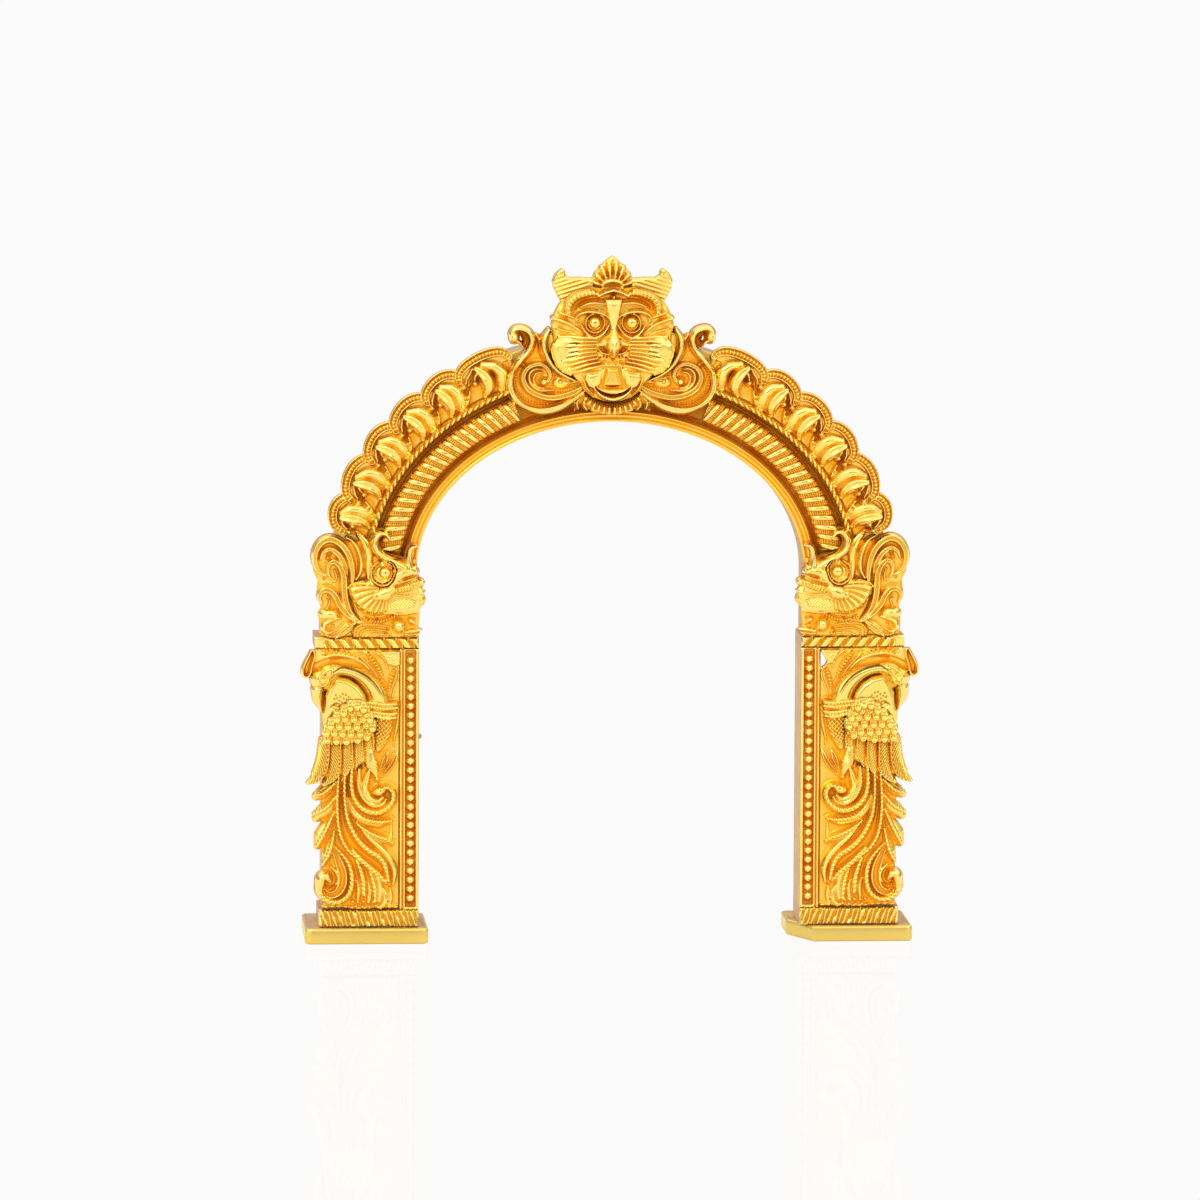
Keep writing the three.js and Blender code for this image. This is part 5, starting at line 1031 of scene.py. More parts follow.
def lion_mask():
    """The face: fluted brows, ringed eyes, wide bridge and nose, whisker ridges, fangs, tongue and
    lip."""
    field = Relief((-11.2, APEX + 3.2), (11.2, APEX + 24.6), 0.085, OF_APEX)
    plate, strand, ball, pits = field.plate, field.strand, field.ball, field.pits
    face = both_sides((0, 23.23, 1.83, 23.23, 3.73, 23.54, 5.85, 23.23, 7.76, 22.17, 8.82, 21.11,
        9.45, 20.26, 10.19, 18.78, 10.64, 17.08, 10.3, 15.18, 10.19, 13.06, 9.66, 10.73, 8.39, 9.04,
        6.91, 8.19, 5.64, 7.13, 4.9, 5.65, 3.31, 4.38, 1.4, 3.74, 0, 3.63))
    plate(face, 3.2, 0.8)
    ball((0, 14), 9.0, 4.6, base=3.0)
    ball((0, 11.4), 2.7, 0.5, mode="cut", stretch=1.25)
    for sign in (1, -1):
        field.side = sign
        ball((6.0, 12.9), 3.3, 5.0, base=3.2, stretch=1.2)
        ball((3.4, 17.3), 2.5, 1.0, mode="cut", stretch=1.15)
        plate((9.66, 14.63, 10.47, 13.7, 10.72, 12.53, 10.47, 11.37, 9.83, 9.88, 8.69, 8.78,
            7.29, 8.23, 3.94, 9.2, 2.67, 10.94, 2.76, 14.33, 6.49, 14.75), 4.15, 1.1)
        for points in (
            (2.88, 14.75, 5.21, 14.97, 7.54, 15.07, 9.34, 14.92),
            (2.93, 14.29, 5.21, 14.33, 7.54, 14.25, 9.87, 13.91),
            (2.97, 13.74, 5.21, 13.7, 7.54, 13.44, 9.96, 12.93),
            (3.01, 13.14, 5.21, 13.02, 7.54, 12.64, 10.13, 12.09),
            (3.01, 12.55, 5.21, 12.34, 7.54, 11.83, 10, 11.28),
            (2.88, 11.96, 5.21, 11.62, 7.54, 11.03, 9.83, 10.52),
            (2.67, 11.37, 5, 10.94, 7.33, 10.26, 9.45, 9.8),
            (2.25, 10.77, 4.58, 10.31, 6.7, 9.63, 8.69, 9.16),
            (1.83, 10.18, 3.94, 9.71, 5.85, 9.12, 7.54, 8.7),
        ):
            strand(points, [0.22, 0.37, 0.4, 0.26], [5.2, 5.5, 4.9, 3.7], rounded, base=3.7)
        # Painted shade and painted dark reflections: four fine dark lines across the whiskers of
        # each cheek
        for points in ((5.64, 14.03, 6.7, 13.99, 7.84, 13.91), (6.1, 13.44, 7.12, 13.36,
            8.31, 13.23), (5.85, 12.64, 6.91, 12.47, 7.93, 12.25), (6.23, 11.87, 7.29, 11.66,
            8.26, 11.41)):
            strand(points, [0.02, 0.1, 0.12, 0.04], 3.2, flat, base=3.2, mode="shade_and_reflection")
        strand((10.3, 18.14, 9.03, 17.83, 7.54, 17.3, 6.38, 16.55, 5.21, 15.56),
            [0.5, 0.62, 0.6, 0.5, 0.2], [4.0, 4.6, 4.8, 4.6])
        strand((9.28, 19.2, 8.29, 18.86, 7.29, 18.52, 6.49, 18.14), [0.3, 0.5, 0.45, 0.2],
            [4.2, 4.6, 4.5])
        strand((9.71, 16.45, 8.6, 16.13, 7.33, 15.92, 6.06, 15.39), [0.3, 0.45, 0.4, 0.15],
            [3.9, 4.3, 4.4])
        strand((6.7, 18.14, 5.96, 18.99, 4.37, 19.46, 2.67, 19.29, 1.3, 18.74, 0.66, 18.04),
            [0.3, 0.55, 0.6, 0.55, 0.4, 0.2], [4.9, 5.5, 5.6, 5.3])
        strand((5.21, 19.71, 4.37, 19.84, 3.52, 19.8, 2.67, 19.67), 0.12, 0.4, mode="cut")
        strand((5.74, 20.16, 4.37, 20.79, 2.88, 20.94, 1.3, 20.79), [0.3, 0.46, 0.46, 0.3],
            [4.6, 5.0, 5.0])
        strand((5.53, 17.08, 4.96, 16.07, 4.11, 15.22, 3.18, 14.92, 2.08, 15.35, 1.15, 16.41,
            0.64, 17.38), [0.25, 0.44, 0.54, 0.56, 0.5, 0.34, 0.2], [4.8, 5.3, 5.3, 5.2])
        strand((3.1, 18.99, 1.72, 18.4, 1.57, 17.08, 2.25, 16.07, 3.2, 15.77, 4.26, 16.13,
            4.75, 17.08, 4.37, 18.46), 0.17, 4.7, base=3.0, closed=True)
        ball((3.18, 17.38), 1.3, 4.5, base=4.0, mode="over")
        ball((3.18, 17.51), 0.98, 5.35, base=4.4)
        pits((3.18, 17.51), 0.2, 0.4)
        strand((7.63, 18.99, 7.67, 20.47, 6.7, 21.83, 5.09, 22.46, 3.52, 22.59, 2.33, 22.25),
            [0.6, 0.84, 0.86, 0.84, 0.66, 0.36], [5.1, 5.6, 5.6, 5.1], barbed(0.7, 0.0, 0.14),
            base=2.6)
        strand((6.49, 19.84, 6.06, 20.58, 4.79, 21.28, 3.1, 21.58, 1.61, 21.49), 0.14, 0.5,
            mode="cut")
        strand((2.67, 22.04, 1.4, 22.72, -0.12, 23.14), [0.3, 0.42, 0.5], [5.2, 5.5, 5.6])
        plate((4.71, 8.87, 1.83, 9.25, 2.21, 6.92, 3.05, 5.99, 4.16, 6.37, 4.79, 7.55), 4.9, 0.9,
            mode="over")
        strand((5.43, 8.61, 5.05, 7.34, 4.37, 5.96, 3.31, 4.97), [0.15, 0.3, 0.3, 0.15],
            [4.0, 4.6, 4.6])
        strand((0, 14.97, 0.98, 14.44, 1.93, 13.99, 2.72, 13.7), [1.3, 1.2, 1.0, 0.5],
            [7.0, 6.5, 5.9, 5.1], base=3.6)
        strand((2.8, 13.23, 2.25, 12.53, 1.3, 12.11, 0.13, 12), [0.2, 0.34, 0.36, 0.3],
            [4.8, 5.1, 5.1, 4.9])
        ball((1.57, 12.81), 0.42, 0.35, mode="cut", stretch=1.6)
        pits((2.55, 12.64, 1.61, 11.62, 1.06, 11.53, 2.25, 11.41), 0.2, 0.5)
    field.side = 1
    plate((-1.5, 21.6, 1.5, 21.6, 1.1, 19.8, 0.85, 18.4, 0.4, 16.6, -0.4, 16.6, -0.85, 18.4,
        -1.1, 19.8), 6.0, 1.0)
    strand((0, 17.4, 0, 15.4, 0, 13.6, 0, 12.6, 0, 11.8), [0.5, 0.95, 1.75, 1.6, 0.5],
        [5.2, 6.4, 7.5, 7.5, 6.4], base=3.6)
    strand((0, 15.6, 0, 13.6, 0, 12.2), [0.3, 0.55, 0.3], [6.6, 7.9, 7.2], base=6.0)
    ball((0, 22.0), 0.34, 6.1, base=4.6)
    tongue = both_sides((1.25, 9.9, 1.55, 8.4, 2.1, 6.8, 1.6, 5.9))
    plate(tongue, 4.0, 1.0, mode="over")
    # Painted shade over the tongue
    plate(tongue, 0.35, 0.6, mode="shade_and_reflection")
    # Painted shade over the hollow under the nose
    plate((-2.3, 12.0, 2.3, 12.0, 2.0, 9.7, -2.0, 9.7), 0.45, 0.8, mode="shade_and_reflection")
    ball((-1.5, 10.7, -0.6, 10.4, 0.5, 10.5, 1.4, 10.6, 0, 11.1), 0.42, 0.35, mode="cut")
    strand((-3.0, 6.3, -1.7, 5.75, 0, 5.5, 1.7, 5.75, 3.0, 6.3), [0.15, 0.6, 0.8, 0.6, 0.15], 4.9,
        base=2.4)
    strand((-1.3, 6.5, 0, 6.42, 1.3, 6.5), [0.06, 0.14, 0.06], 0.7, mode="cut")
    strand((-3.2, 6.0, -2.2, 5.0, -1.0, 4.42, 0, 4.25, 1.0, 4.42, 2.2, 5.0, 3.2, 6.0),
        [0.2, 0.4, 0.5, 0.52, 0.5, 0.4, 0.2], 5.2, base=2.4)
    strand((-3.0, 6.3, -1.8, 5.25, 0, 4.85, 1.8, 5.25, 3.0, 6.3), [0.08, 0.15, 0.17, 0.15, 0.08],
        1.0, mode="cut")
    return solid_of(field.finish(), ARCH_FRONT - LAYER)


def crown_leaf():
    """Rounded petals in a half ring over a smooth half disc, with small beads between them."""
    field = Relief((-4.6, APEX + 21.4), (4.6, APEX + 29.0), 0.07, OF_APEX)
    disc = both_sides((0, 28.9, 0.75, 28.35, 1.6, 27.6, 2.5, 26.7, 3.2, 25.7, 3.75, 24.7, 3.9, 23.9,
        3.4, 23.3, 3.0, 22.8))
    field.plate(disc, 1.5, 0.5)
    for degrees in (-82, -58, -35, -12, 12, 35, 58, 82):
        turn = math.radians(degrees)
        start = (2.0 * math.sin(turn), APEX + 23.6 + 1.7 * math.cos(turn))
        stop = (3.2 * math.sin(turn), APEX + 23.9 + (2.6 + 1.1 * math.cos(turn)) * math.cos(turn))
        field.strand([start, stop], [0.36, 0.58, 0.6], [2.5, 2.8, 2.5])
    field.strand((-1.9, 23.6, -1.2, 24.3, 0, 24.6, 1.2, 24.3, 1.9, 23.6),
        [0.5, 0.75, 0.8, 0.75, 0.5], [2.4, 2.9, 2.4])
    field.ball((-1.05, 25.15, -0.5, 25.35, 0.05, 25.4, 0.6, 25.3, 1.1, 25.1), 0.2, 3.0)
    field.strand((-2.3, 23.0, -1.2, 23.3, 0, 23.4, 1.2, 23.3, 2.3, 23.0), [0.3, 0.45, 0.3], 2.2)
    return solid_of(field.finish(), ARCH_FRONT - 2 * LAYER)


def mask_ear():
    """A broad pointed ear with slanting ridges."""
    field = Relief((2.6, APEX + 20.2), (11.2, APEX + 27.4), 0.08, OF_APEX)
    outline = field.placed((3.13, 24.92, 3.98, 25.01, 5.67, 25.18, 7.37, 25.13, 8.11, 25.56,
        8.3, 26.4, 8.81, 26.7, 9.27, 26.36, 10.08, 25.51, 10.46, 24.5, 10.25, 23.33, 9.59, 21.96,
        8.89, 20.85, 7.15, 20.69, 6.1, 22.38, 3.13, 23.33))
    field.plate(outline, 2.1, 0.5)
    window, x, z = field.window(outline, 0.4)
    lean = (z - APEX) + 0.30 * (x - 6)
    ridge = 0.34 * (1 - np.abs(np.mod(lean / 0.74, 1) * 2 - 1)) ** 0.6
    fade = ease((x - 3.2) / 1.6) * ease((field.reach[window] - 0.05) / 0.3)
    field.height[window] += ridge * fade
    field.strand((8.85, 26.53, 9.48, 25.87, 10.12, 24.71, 10.08, 23.44), [0.1, 0.24, 0.26, 0.15],
        2.5)
    field.ball((9.59, 25.66, 8.95, 26.15), 0.34, 2.7)
    return solid_of(field.finish(), ARCH_FRONT - 3 * LAYER)


def beard_ring():
    """A crescent of gadroons, each a small rounded rib across the band."""
    field = Relief((-6.6, APEX + 0.9), (6.6, APEX + 6.2), 0.08, OF_APEX)
    field.plate((-6.0, 3.4, -4.9, 5.6, -3.7, 4.2, -2.0, 3.4, 0, 3.2, 2.0, 3.4, 3.7, 4.2, 4.9, 5.6,
        6.0, 3.4, 4.0, 2.3, 0, 2.0, -4.0, 2.3), 0.9, 0.4)
    field.strand((-5.3, 5.4, -4.5, 4.1, -3.3, 3.1, -1.75, 2.45, 0, 2.25, 1.75, 2.45, 3.3, 3.1,
        4.5, 4.1, 5.3, 5.4), [0.4, 0.9, 1.0, 1.02, 1.0, 0.9, 0.4], [2.0, 2.5, 2.6, 2.5, 2.0],
        barbed(0.93, 0.0, 0.24))
    for sign in (1, -1):
        field.side = sign
        for points in ((5.38, 4.38, 6.1, 3.32, 5.85, 2.36), (4.58, 4.16, 4.96, 3.1, 4.37, 2.21),
            (6.49, 3.53, 7.12, 2.79, 6.49, 2.15), (3.73, 3.1, 3.52, 2.36, 2.46, 1.94)):
            field.strand(points, [0.2, 0.42, 0.25], [1.5, 1.9, 1.5])
        field.pits((5.32, 3.21, 5.68, 3.53), 0.3, 0.8)
    field.strand((0, 3.0, 0, 1.1), 0.1, 0.8, mode="cut")
    return solid_of(field.finish(), ARCH_FRONT - 1.0)


# Mouldings of the arch

BORDER_START = 4.9
BORDER_STOP = QUARTER - 13.6

# Shares of the border's length that its six lobes take, from the bottom up
LOBE_SHARES = (0.119, 0.164, 0.154, 0.168, 0.164, 0.231)
LOBE_ENDS = BORDER_START + (BORDER_STOP - BORDER_START) * np.cumsum((0, *LOBE_SHARES))


def on_lobe(start, stop, row):
    """Points on the arch, share and offset in turn, where the share runs from start to stop."""
    share, offset = np.reshape(row, (-1, 2)).T
    return arch_points(np.column_stack([start + share * (stop - start), offset]))


def moulding(start, stop, low, high):
    """A relief in run and offset whose outline is its whole rectangle, and both over its grid."""
    field = Relief((start, low), (stop, high), 0.075)
    run, offset = np.meshgrid(field.x, field.z)
    inside = np.minimum(run - start, stop - run)
    field.reach = np.minimum(inside, np.minimum(offset - low, high - offset)) + 0.02
    return field, run, offset


def ribbed_roll(pitch):
    """A round roll in run and offset, with leaning ribs and two columns of beads between them."""
    start, middle, half = 3.6, 4.95, 2.05
    field, run, offset = moulding(start, QUARTER - 15.0, 2.9, 7.0)
    across = (offset - middle) / half
    body = np.sqrt(np.clip(1 - across**2, 0, 1))
    phase = np.mod((run - start + 0.65 * across) / pitch + 0.3, 1) - 0.5
    rib = np.clip(1 - (phase / 0.36) ** 4, 0, 1) ** 0.6
    bead_u = np.mod(phase * pitch * 1.15 / 0.34 + 0.5, 1) - 0.5
    bead_v = np.mod(offset / 0.36, 1) - 0.5
    beads = np.sqrt(np.clip(1 - (bead_u**2 + bead_v**2) / 0.22, 0, 1))
    between = ease((np.abs(phase) - 0.33) / 0.04)
    ribs = np.maximum(body * 1.3, body**0.7 * 2.35 * rib)
    field.height = 0.15 + ribs + 0.22 * beads * between * body
    field.finish(0, 0.05)
    # Painted shade between the ribs, with a slight painted highlight on the bead tops there
    field.hollow += between * (1.0 - 1.3 * beads)
    return solid_of(field, ARCH_FRONT, on_arch)


def rope_moulding(pitch):
    """A twisted rope in run and offset: a round section whose height swings with a leaning wave."""
    start, middle, half = 5.4, 8.52, 0.6
    field, run, offset = moulding(start, QUARTER - 14.6, 7.9, 9.15)
    across = (offset - middle) / half
    body = np.sqrt(np.clip(1 - across**2, 0, 1))
    wave = np.abs(np.sin(math.pi * ((run - start) / pitch - 0.45 * across)))
    field.height = 0.1 + body**0.8 * (1.1 + 1.3 * wave**0.45)
    return solid_of(field.finish(0, 0.05), ARCH_FRONT, on_arch)


def vine_band():
    """Hooked straps, balls and leaves on a thin ground, one group for each lobe of the border."""
    runs = np.linspace(BORDER_START, QUARTER - 13.0, 24)
    corners = arch_points([(run, offset) for run in runs for offset in (9.1, 14.6)])
    low, high = np.min(corners, axis=0) - 0.3, np.max(corners, axis=0) + 0.3
    field = Relief(low, high, 0.09)
    band = np.linspace(BORDER_START - 0.3, LOBE_ENDS[-1] + 0.4, 30)
    ground = [(run, 9.15) for run in band] + [(run, 14.5) for run in band[::-1]]
    field.plate(arch_points(ground), 0.7)
    for start, stop in zip(LOBE_ENDS[:-1], LOBE_ENDS[1:]):
        field.strand(on_lobe(start, stop, (0.06, 11.5, -0.02, 10.7, -0.11, 9.7)), [0.3, 0.6, 0.45],
            [1.9, 2.2, 1.6])
        field.strand(on_lobe(start, stop, (0.30, 14.8, 0.22, 14.2, 0.12, 13.6, 0.06, 12.9)),
            [0.25, 0.36, 0.34, 0.2], 2.3)
        field.strand(on_lobe(start, stop, (0.50, 14.6, 0.68, 13.6, 0.76, 12.3, 0.735, 10.9,
            0.67, 9.4)), [0.8, 1.05, 1.3, 1.25, 0.9], [2.6, 3.2, 3.2, 2.6, 1.4], base=0.7)
        field.strand(on_lobe(start, stop, (0.36, 14.5, 0.43, 13.2, 0.455, 11.9, 0.42, 10.6,
            0.29, 9.4)), [0.7, 1.25, 1.35, 1.1, 0.5], [3.4, 3.9, 3.8, 3.0, 1.5], ridged(2, 0.2),
            base=0.7)
        field.strand(on_lobe(start, stop, (0.33, 12.2, 0.345, 11.3, 0.32, 10.5, 0.22, 9.6)),
            [0.05, 0.16, 0.16, 0.06], 0.9, mode="cut")
        field.strand(on_lobe(start, stop, (0.36, 13.9, 0.28, 13.4, 0.24, 12.8)), [0.5, 0.42, 0.3],
            [3.2, 2.9, 2.5])
        field.ball(on_lobe(start, stop, (0.215, 12.35)), 0.68, 3.7)
        field.ball(on_lobe(start, stop, (0.0, 12.7)), 0.66, 3.6)
        field.pits(on_lobe(start, stop, (0.0, 11.2, 0.10, 12.0, -0.06, 10.4)), 0.26, 0.6)
    return solid_of(field.finish(), ARCH_FRONT)


def cusped_border():
    """Lobes like overlapping scales, each a rim with fine ribs across between two plain edges."""
    runs = np.linspace(BORDER_START - 0.5, BORDER_STOP + 0.6, 24)
    corners = arch_points([(run, offset) for run in runs for offset in (13.4, 17.1)])
    low, high = np.min(corners, axis=0) - 0.4, np.max(corners, axis=0) + 0.4
    field = Relief(low, high, 0.08)

    def rim(across, run, half):
        """Across: a plain edge outside, a row of short bars, a groove and a thin edge inside."""
        outer = 0.95 * np.exp(-(((across - 0.8) * half / 0.2) ** 4))
        inner = 0.85 * np.exp(-(((across + 0.8) * half / 0.13) ** 4))
        bars = 0.35 + 0.65 * np.abs(np.sin(math.pi * run / 0.64)) ** 0.6
        bars = bars * np.exp(-(((across - 0.02) * half / 0.42) ** 4))
        end = ease((1 - np.abs(across)) / 0.1 + 0.4)
        return np.maximum(np.maximum(outer, inner), np.maximum(bars, 0.15)) * end

    for start, stop in zip(LOBE_ENDS[:-1], LOBE_ENDS[1:]):
        deep = 16.2 if stop - start < 6 else 16.1
        fill = (-0.02, 13.6, 0.0, 15.4, 0.2, 15.7, 0.5, 16.0, 0.8, 15.7, 1.0, 15.4, 1.02, 13.6)
        field.plate(on_lobe(start, stop, fill), 0.9, mode="over")
        path = (-0.03, 13.8, 0.03, 14.9, 0.18, 15.7, 0.42, deep, 0.66, deep, 0.86, 15.7, 0.97, 15.0,
            1.02, 14.2)
        field.strand(on_lobe(start, stop, path), [0.62, 0.78, 0.82, 0.84, 0.84, 0.8, 0.62],
            [1.6, 1.85, 1.9, 1.9, 1.8, 1.6], rim, base=0.4, mode="over")
    return solid_of(field.finish(), ARCH_FRONT - 2 * LAYER)


def shell_profile():
    """The arch channel in section, with two fine ridges and a groove in its lip at the opening."""
    front = ARCH_FRONT
    inside = front + SHELL_WALL
    back = FRAME_BACK
    return [
        (0.25, back), (0.0, back - 0.25), (0.0, front - 0.55), (0.1, front - 0.78),
        (0.3, front - 0.85), (0.5, front - 0.78), (0.6, front - 0.62), (0.72, front - 0.6),
        (0.82, front - 0.85), (1.0, front - 0.98), (1.2, front - 0.95), (1.32, front - 0.75),
        (1.44, front - 0.72), (1.56, front - 0.9), (1.72, front - 0.92), (1.86, front - 0.7),
        (1.95, front - 0.2), (2.05, front + 0.3), (2.2, front + 0.7), (2.5, front + 0.85),
        (2.8, front + 0.7), (3.0, front + 0.3), (3.1, front), (6.9, front), (6.95, front + 0.5),
        (7.15, front + 0.85), (7.45, front + 0.95), (7.75, front + 0.8), (7.85, front + 0.4),
        (7.95, front), (9.6, front), (ARCH_WIDTH - 0.3, front), (ARCH_WIDTH - 0.08, front + 0.08),
        (ARCH_WIDTH, front + 0.3), (ARCH_WIDTH, back - 0.25), (ARCH_WIDTH - 0.25, back),
        (ARCH_WIDTH - SHELL_WALL, back), (ARCH_WIDTH - SHELL_WALL, inside + 0.3),
        (ARCH_WIDTH - SHELL_WALL - 0.3, inside), (SHELL_WALL + 0.3, inside),
        (SHELL_WALL, inside + 0.3), (SHELL_WALL, back),
    ]


def arch_shell():
    """The channel swept up one leg, over the arch and down the other leg."""
    profile = shell_profile()
    offsets = [offset for offset, y in profile]
    # Painted shade across the section: most in the two fine grooves of the lip and on the floor
    # from the lip to past the rope, least on the outer edge, and none on the faces behind
    hollow = np.interp(
        offsets,
        [0.55, 0.66, 0.85, 1.1, 1.38, 1.6, 1.9, 2.2, 9.0, 9.6, 14.0],
        [0.45, 1.3, 0.45, 0.45, 1.3, 0.45, 0.6, 1.4, 1.4, 0.6, 0.3],
    )
    inner_side = ARCH_FRONT + 1.0
    hollow[[y > inner_side for offset, y in profile]] = 0
    return sweep(profile, arch_path(), hollow, inner_side)


# Straight members


def slab(left, right, bottom, top, step):
    """A relief with a margin round a rectangle, which it keeps, and its x and z over the grid."""
    margin = 0.3
    field = Relief((left - margin, bottom - margin), (right + margin, top + margin), step)
    field.rectangle = [(left, bottom), (right, bottom), (right, top), (left, top)]
    return field, *np.meshgrid(field.x, field.z)


def bead_strip(radius, pitch):
    """A sunk channel of balls between a double fine rim outside and a plain rim at the opening."""
    field, x, z = slab(PILLAR_INNER, PILLAR_INNER + 3.3, PILLAR_BASE, PILLAR_TOP, 0.09)
    field.plate(field.rectangle, 1.1, 0.2)
    x = x - PILLAR_INNER
    channel = ease((x - 0.5) / 0.15) * ease((2.42 - x) / 0.15)
    channel = channel * ease((z - PILLAR_BASE - 0.4) / 0.15) * ease((PILLAR_TOP - 0.1 - z) / 0.15)
    groove = np.exp(-(((x - 2.82) / 0.13) ** 2))
    cut = field.height - 0.85 * channel - 0.6 * groove
    field.height = np.where(field.reach > 0, cut, field.height)
    count = int((PILLAR_TOP - PILLAR_BASE - pitch) / pitch)
    margin = (PILLAR_TOP - PILLAR_BASE - (count - 1) * pitch) / 2 + 0.05
    places = [(PILLAR_INNER + 1.46, PILLAR_BASE + margin + i * pitch) for i in range(count)]
    for px, pz in places[:-1]:
        field.ball([(px - 0.78, pz + pitch / 2), (px + 0.78, pz + pitch / 2)], 0.22, 0.6)
    field.ball(places, radius, 1.55, base=0.25)
    field.finish()
    # Painted shade and highlight made stronger: the channel and the gaps round the beads come out
    # darker
    field.hollow *= 1.7
    return solid_of(field, PILLAR_FRONT)


def fluted_block(left, right, bottom, top, front, pitch, slant, plain, depth, wander):
    """A block whose front carries slanting flutes as a wave in x plus slant z. plain is the width
    left without flutes at the outer end, and wander shifts the flutes unevenly, as on hand-cut
    work."""
    field, x, z = slab(left, right, bottom, top, 0.1)
    field.plate(field.rectangle, FRAME_BACK - front, 0.3)
    share = (top - z) / (top - bottom)
    phase = (x - left + slant * share) / pitch
    phase = phase + wander * np.sin(2.3 * x + 1.1) + 0.6 * wander * np.sin(5.1 * x + 0.7 * z)
    wave = np.abs(np.sin(math.pi * phase)) ** 0.7
    fade = ease((right - plain - x) / 0.3) * ease((z - bottom - 0.12) / 0.15)
    fade = fade * ease((top - 0.12 - z) / 0.15)
    field.height = np.where(field.reach > 0, field.height + (depth * (wave - 0.45)) * fade, 0)
    return solid_of(field.finish(), FRAME_BACK)


def foot_plate(ground_corner):
    """A rounded plate: its outline is stacked at a few levels, drawn in at top and bottom by the
    rounding. Its inner front corner is rounded too, or ground off in a slant."""
    left, low_y = edge("right_foot_plate", 0, 0), edge("right_foot_plate", 0, 1)
    right, high_y = edge("right_foot_plate", 1, 0), edge("right_foot_plate", 1, 1)
    top = edge("right_plinth", 0, 2)
    radius, ground_x, ground_y = 1.2, 3.9, 8.3
    if ground_corner:
        start = [(left + ground_x, low_y), (left, low_y + ground_y)]
    else:
        start = [(1 - math.cos(t), 1 - math.sin(t)) for t in np.linspace(math.pi / 2, 0, 7)]
        start = [(left + radius * x, low_y + radius * y) for x, y in start]
    corners = []
    far_x, near_y, far_y = right - radius, low_y + radius, high_y - radius
    for cx, cy, begin in ((left + radius, far_y, 180), (far_x, far_y, 90), (far_x, near_y, 0)):
        for degrees in np.linspace(begin, begin - 90, 7):
            turn = math.radians(degrees)
            corners.append((cx + radius * math.cos(turn), cy + radius * math.sin(turn)))
    loop = np.array(start + corners)
    closed = np.vstack([loop, loop[:1]])
    runs = np.concatenate([[0], np.cumsum(np.hypot(*np.diff(closed, axis=0).T))])
    even = np.unique(np.concatenate([np.linspace(0, runs[-1], 161)[:-1], runs[:-1]]))
    loop = resampled(closed, runs, even)
    ahead = np.roll(loop, -1, axis=0) - np.roll(loop, 1, axis=0)
    inward = np.column_stack([ahead[:, 1], -ahead[:, 0]]) / np.hypot(*ahead.T)[:, None]
    levels = [(0.0, 0.35), (0.06, 0.16), (0.2, 0.04), (0.4, 0.0), (top - 0.5, 0.0),
        (top - 0.22, 0.05), (top - 0.07, 0.17), (top, 0.42)]
    wobble = 0.05 * np.sin(even * 1.9) + 0.04 * np.sin(even * 4.3 + 1.0)
    rings = []
    for z, inset in levels:
        ring = loop + inward * (inset + 0.25 * np.maximum(wobble, 0)[:, None] * (inset > 0))
        rings.append(np.column_stack([ring, np.full(len(ring), z)]))
    return ringed(np.vstack(rings), len(levels))


# Materials: shader sums written as expressions


class Value:
    """A socket that carries a number. Arithmetic on it adds Math nodes."""

    def __init__(self, maker, socket):
        self.maker = maker
        self.socket = socket

    def math(self, operation, *others):
        node = self.maker.node("ShaderNodeMath", {"operation": operation}, *[self, *others])
        return Value(self.maker, node.outputs[0])

    def __add__(self, other):
        return self.math("ADD", other)

    def __sub__(self, other):
        return self.math("SUBTRACT", other)

    def __mul__(self, other):
        return self.math("MULTIPLY", other)

    def __rsub__(self, other):
        return (self * -1.0).math("ADD", other)

    __radd__ = __add__
    __rmul__ = __mul__

    def clamped(self):
        return Value(self.maker, self.maker.node("ShaderNodeClamp", {}, self).outputs[0])


class Maker:
    """Adds nodes to one material's tree."""

    def __init__(self, tree):
        self.tree = tree
        tree.nodes.clear()

    def node(self, kind, settings, *inputs, **named):
        """A node of that kind, with its settings first and then its sockets, by order or by
        name."""
        made = self.tree.nodes.new(kind)
        for key, value in settings.items():
            setattr(made, key, value)
        for socket, value in zip(made.inputs, inputs):
            self.feed(socket, value)
        for name, value in named.items():
            self.feed(made.inputs[name.replace("_", " ")], value)
        return made

    def feed(self, socket, value):
        """Links a socket to the value's own socket, or sets it to a constant."""
        if isinstance(value, Value):
            value = value.socket
        if isinstance(value, bpy.types.NodeSocket):
            self.tree.links.new(value, socket)
        else:
            socket.default_value = value

    def noise(self, scale, detail=3.0, roughness=0.5):
        place = self.node("ShaderNodeTexCoord", {}).outputs["Object"]
        made = self.node("ShaderNodeTexNoise", {}, Vector=place, Scale=scale, Detail=detail,
            Roughness=roughness)
        return Value(self, made.outputs["Fac"])

    def attribute(self, name):
        made = self.node("ShaderNodeAttribute", {"attribute_name": name})
        return Value(self, made.outputs["Fac"])

    def mix(self, share, first, second):
        """Two colours mixed by a number."""
        made = self.node("ShaderNodeMix", {"data_type": "RGBA"})
        for number, value in ((0, share), (6, first), (7, second)):
            self.feed(made.inputs[number], value)
        return made.outputs[2]


def new_material(name):
    """A material and the maker of its empty tree."""
    material = bpy.data.materials.new(name)
    material.use_nodes = True
    return material, Maker(material.node_tree)


def colour(values):
    """Three parts with a full fourth."""
    return (*values[:3], 1.0)


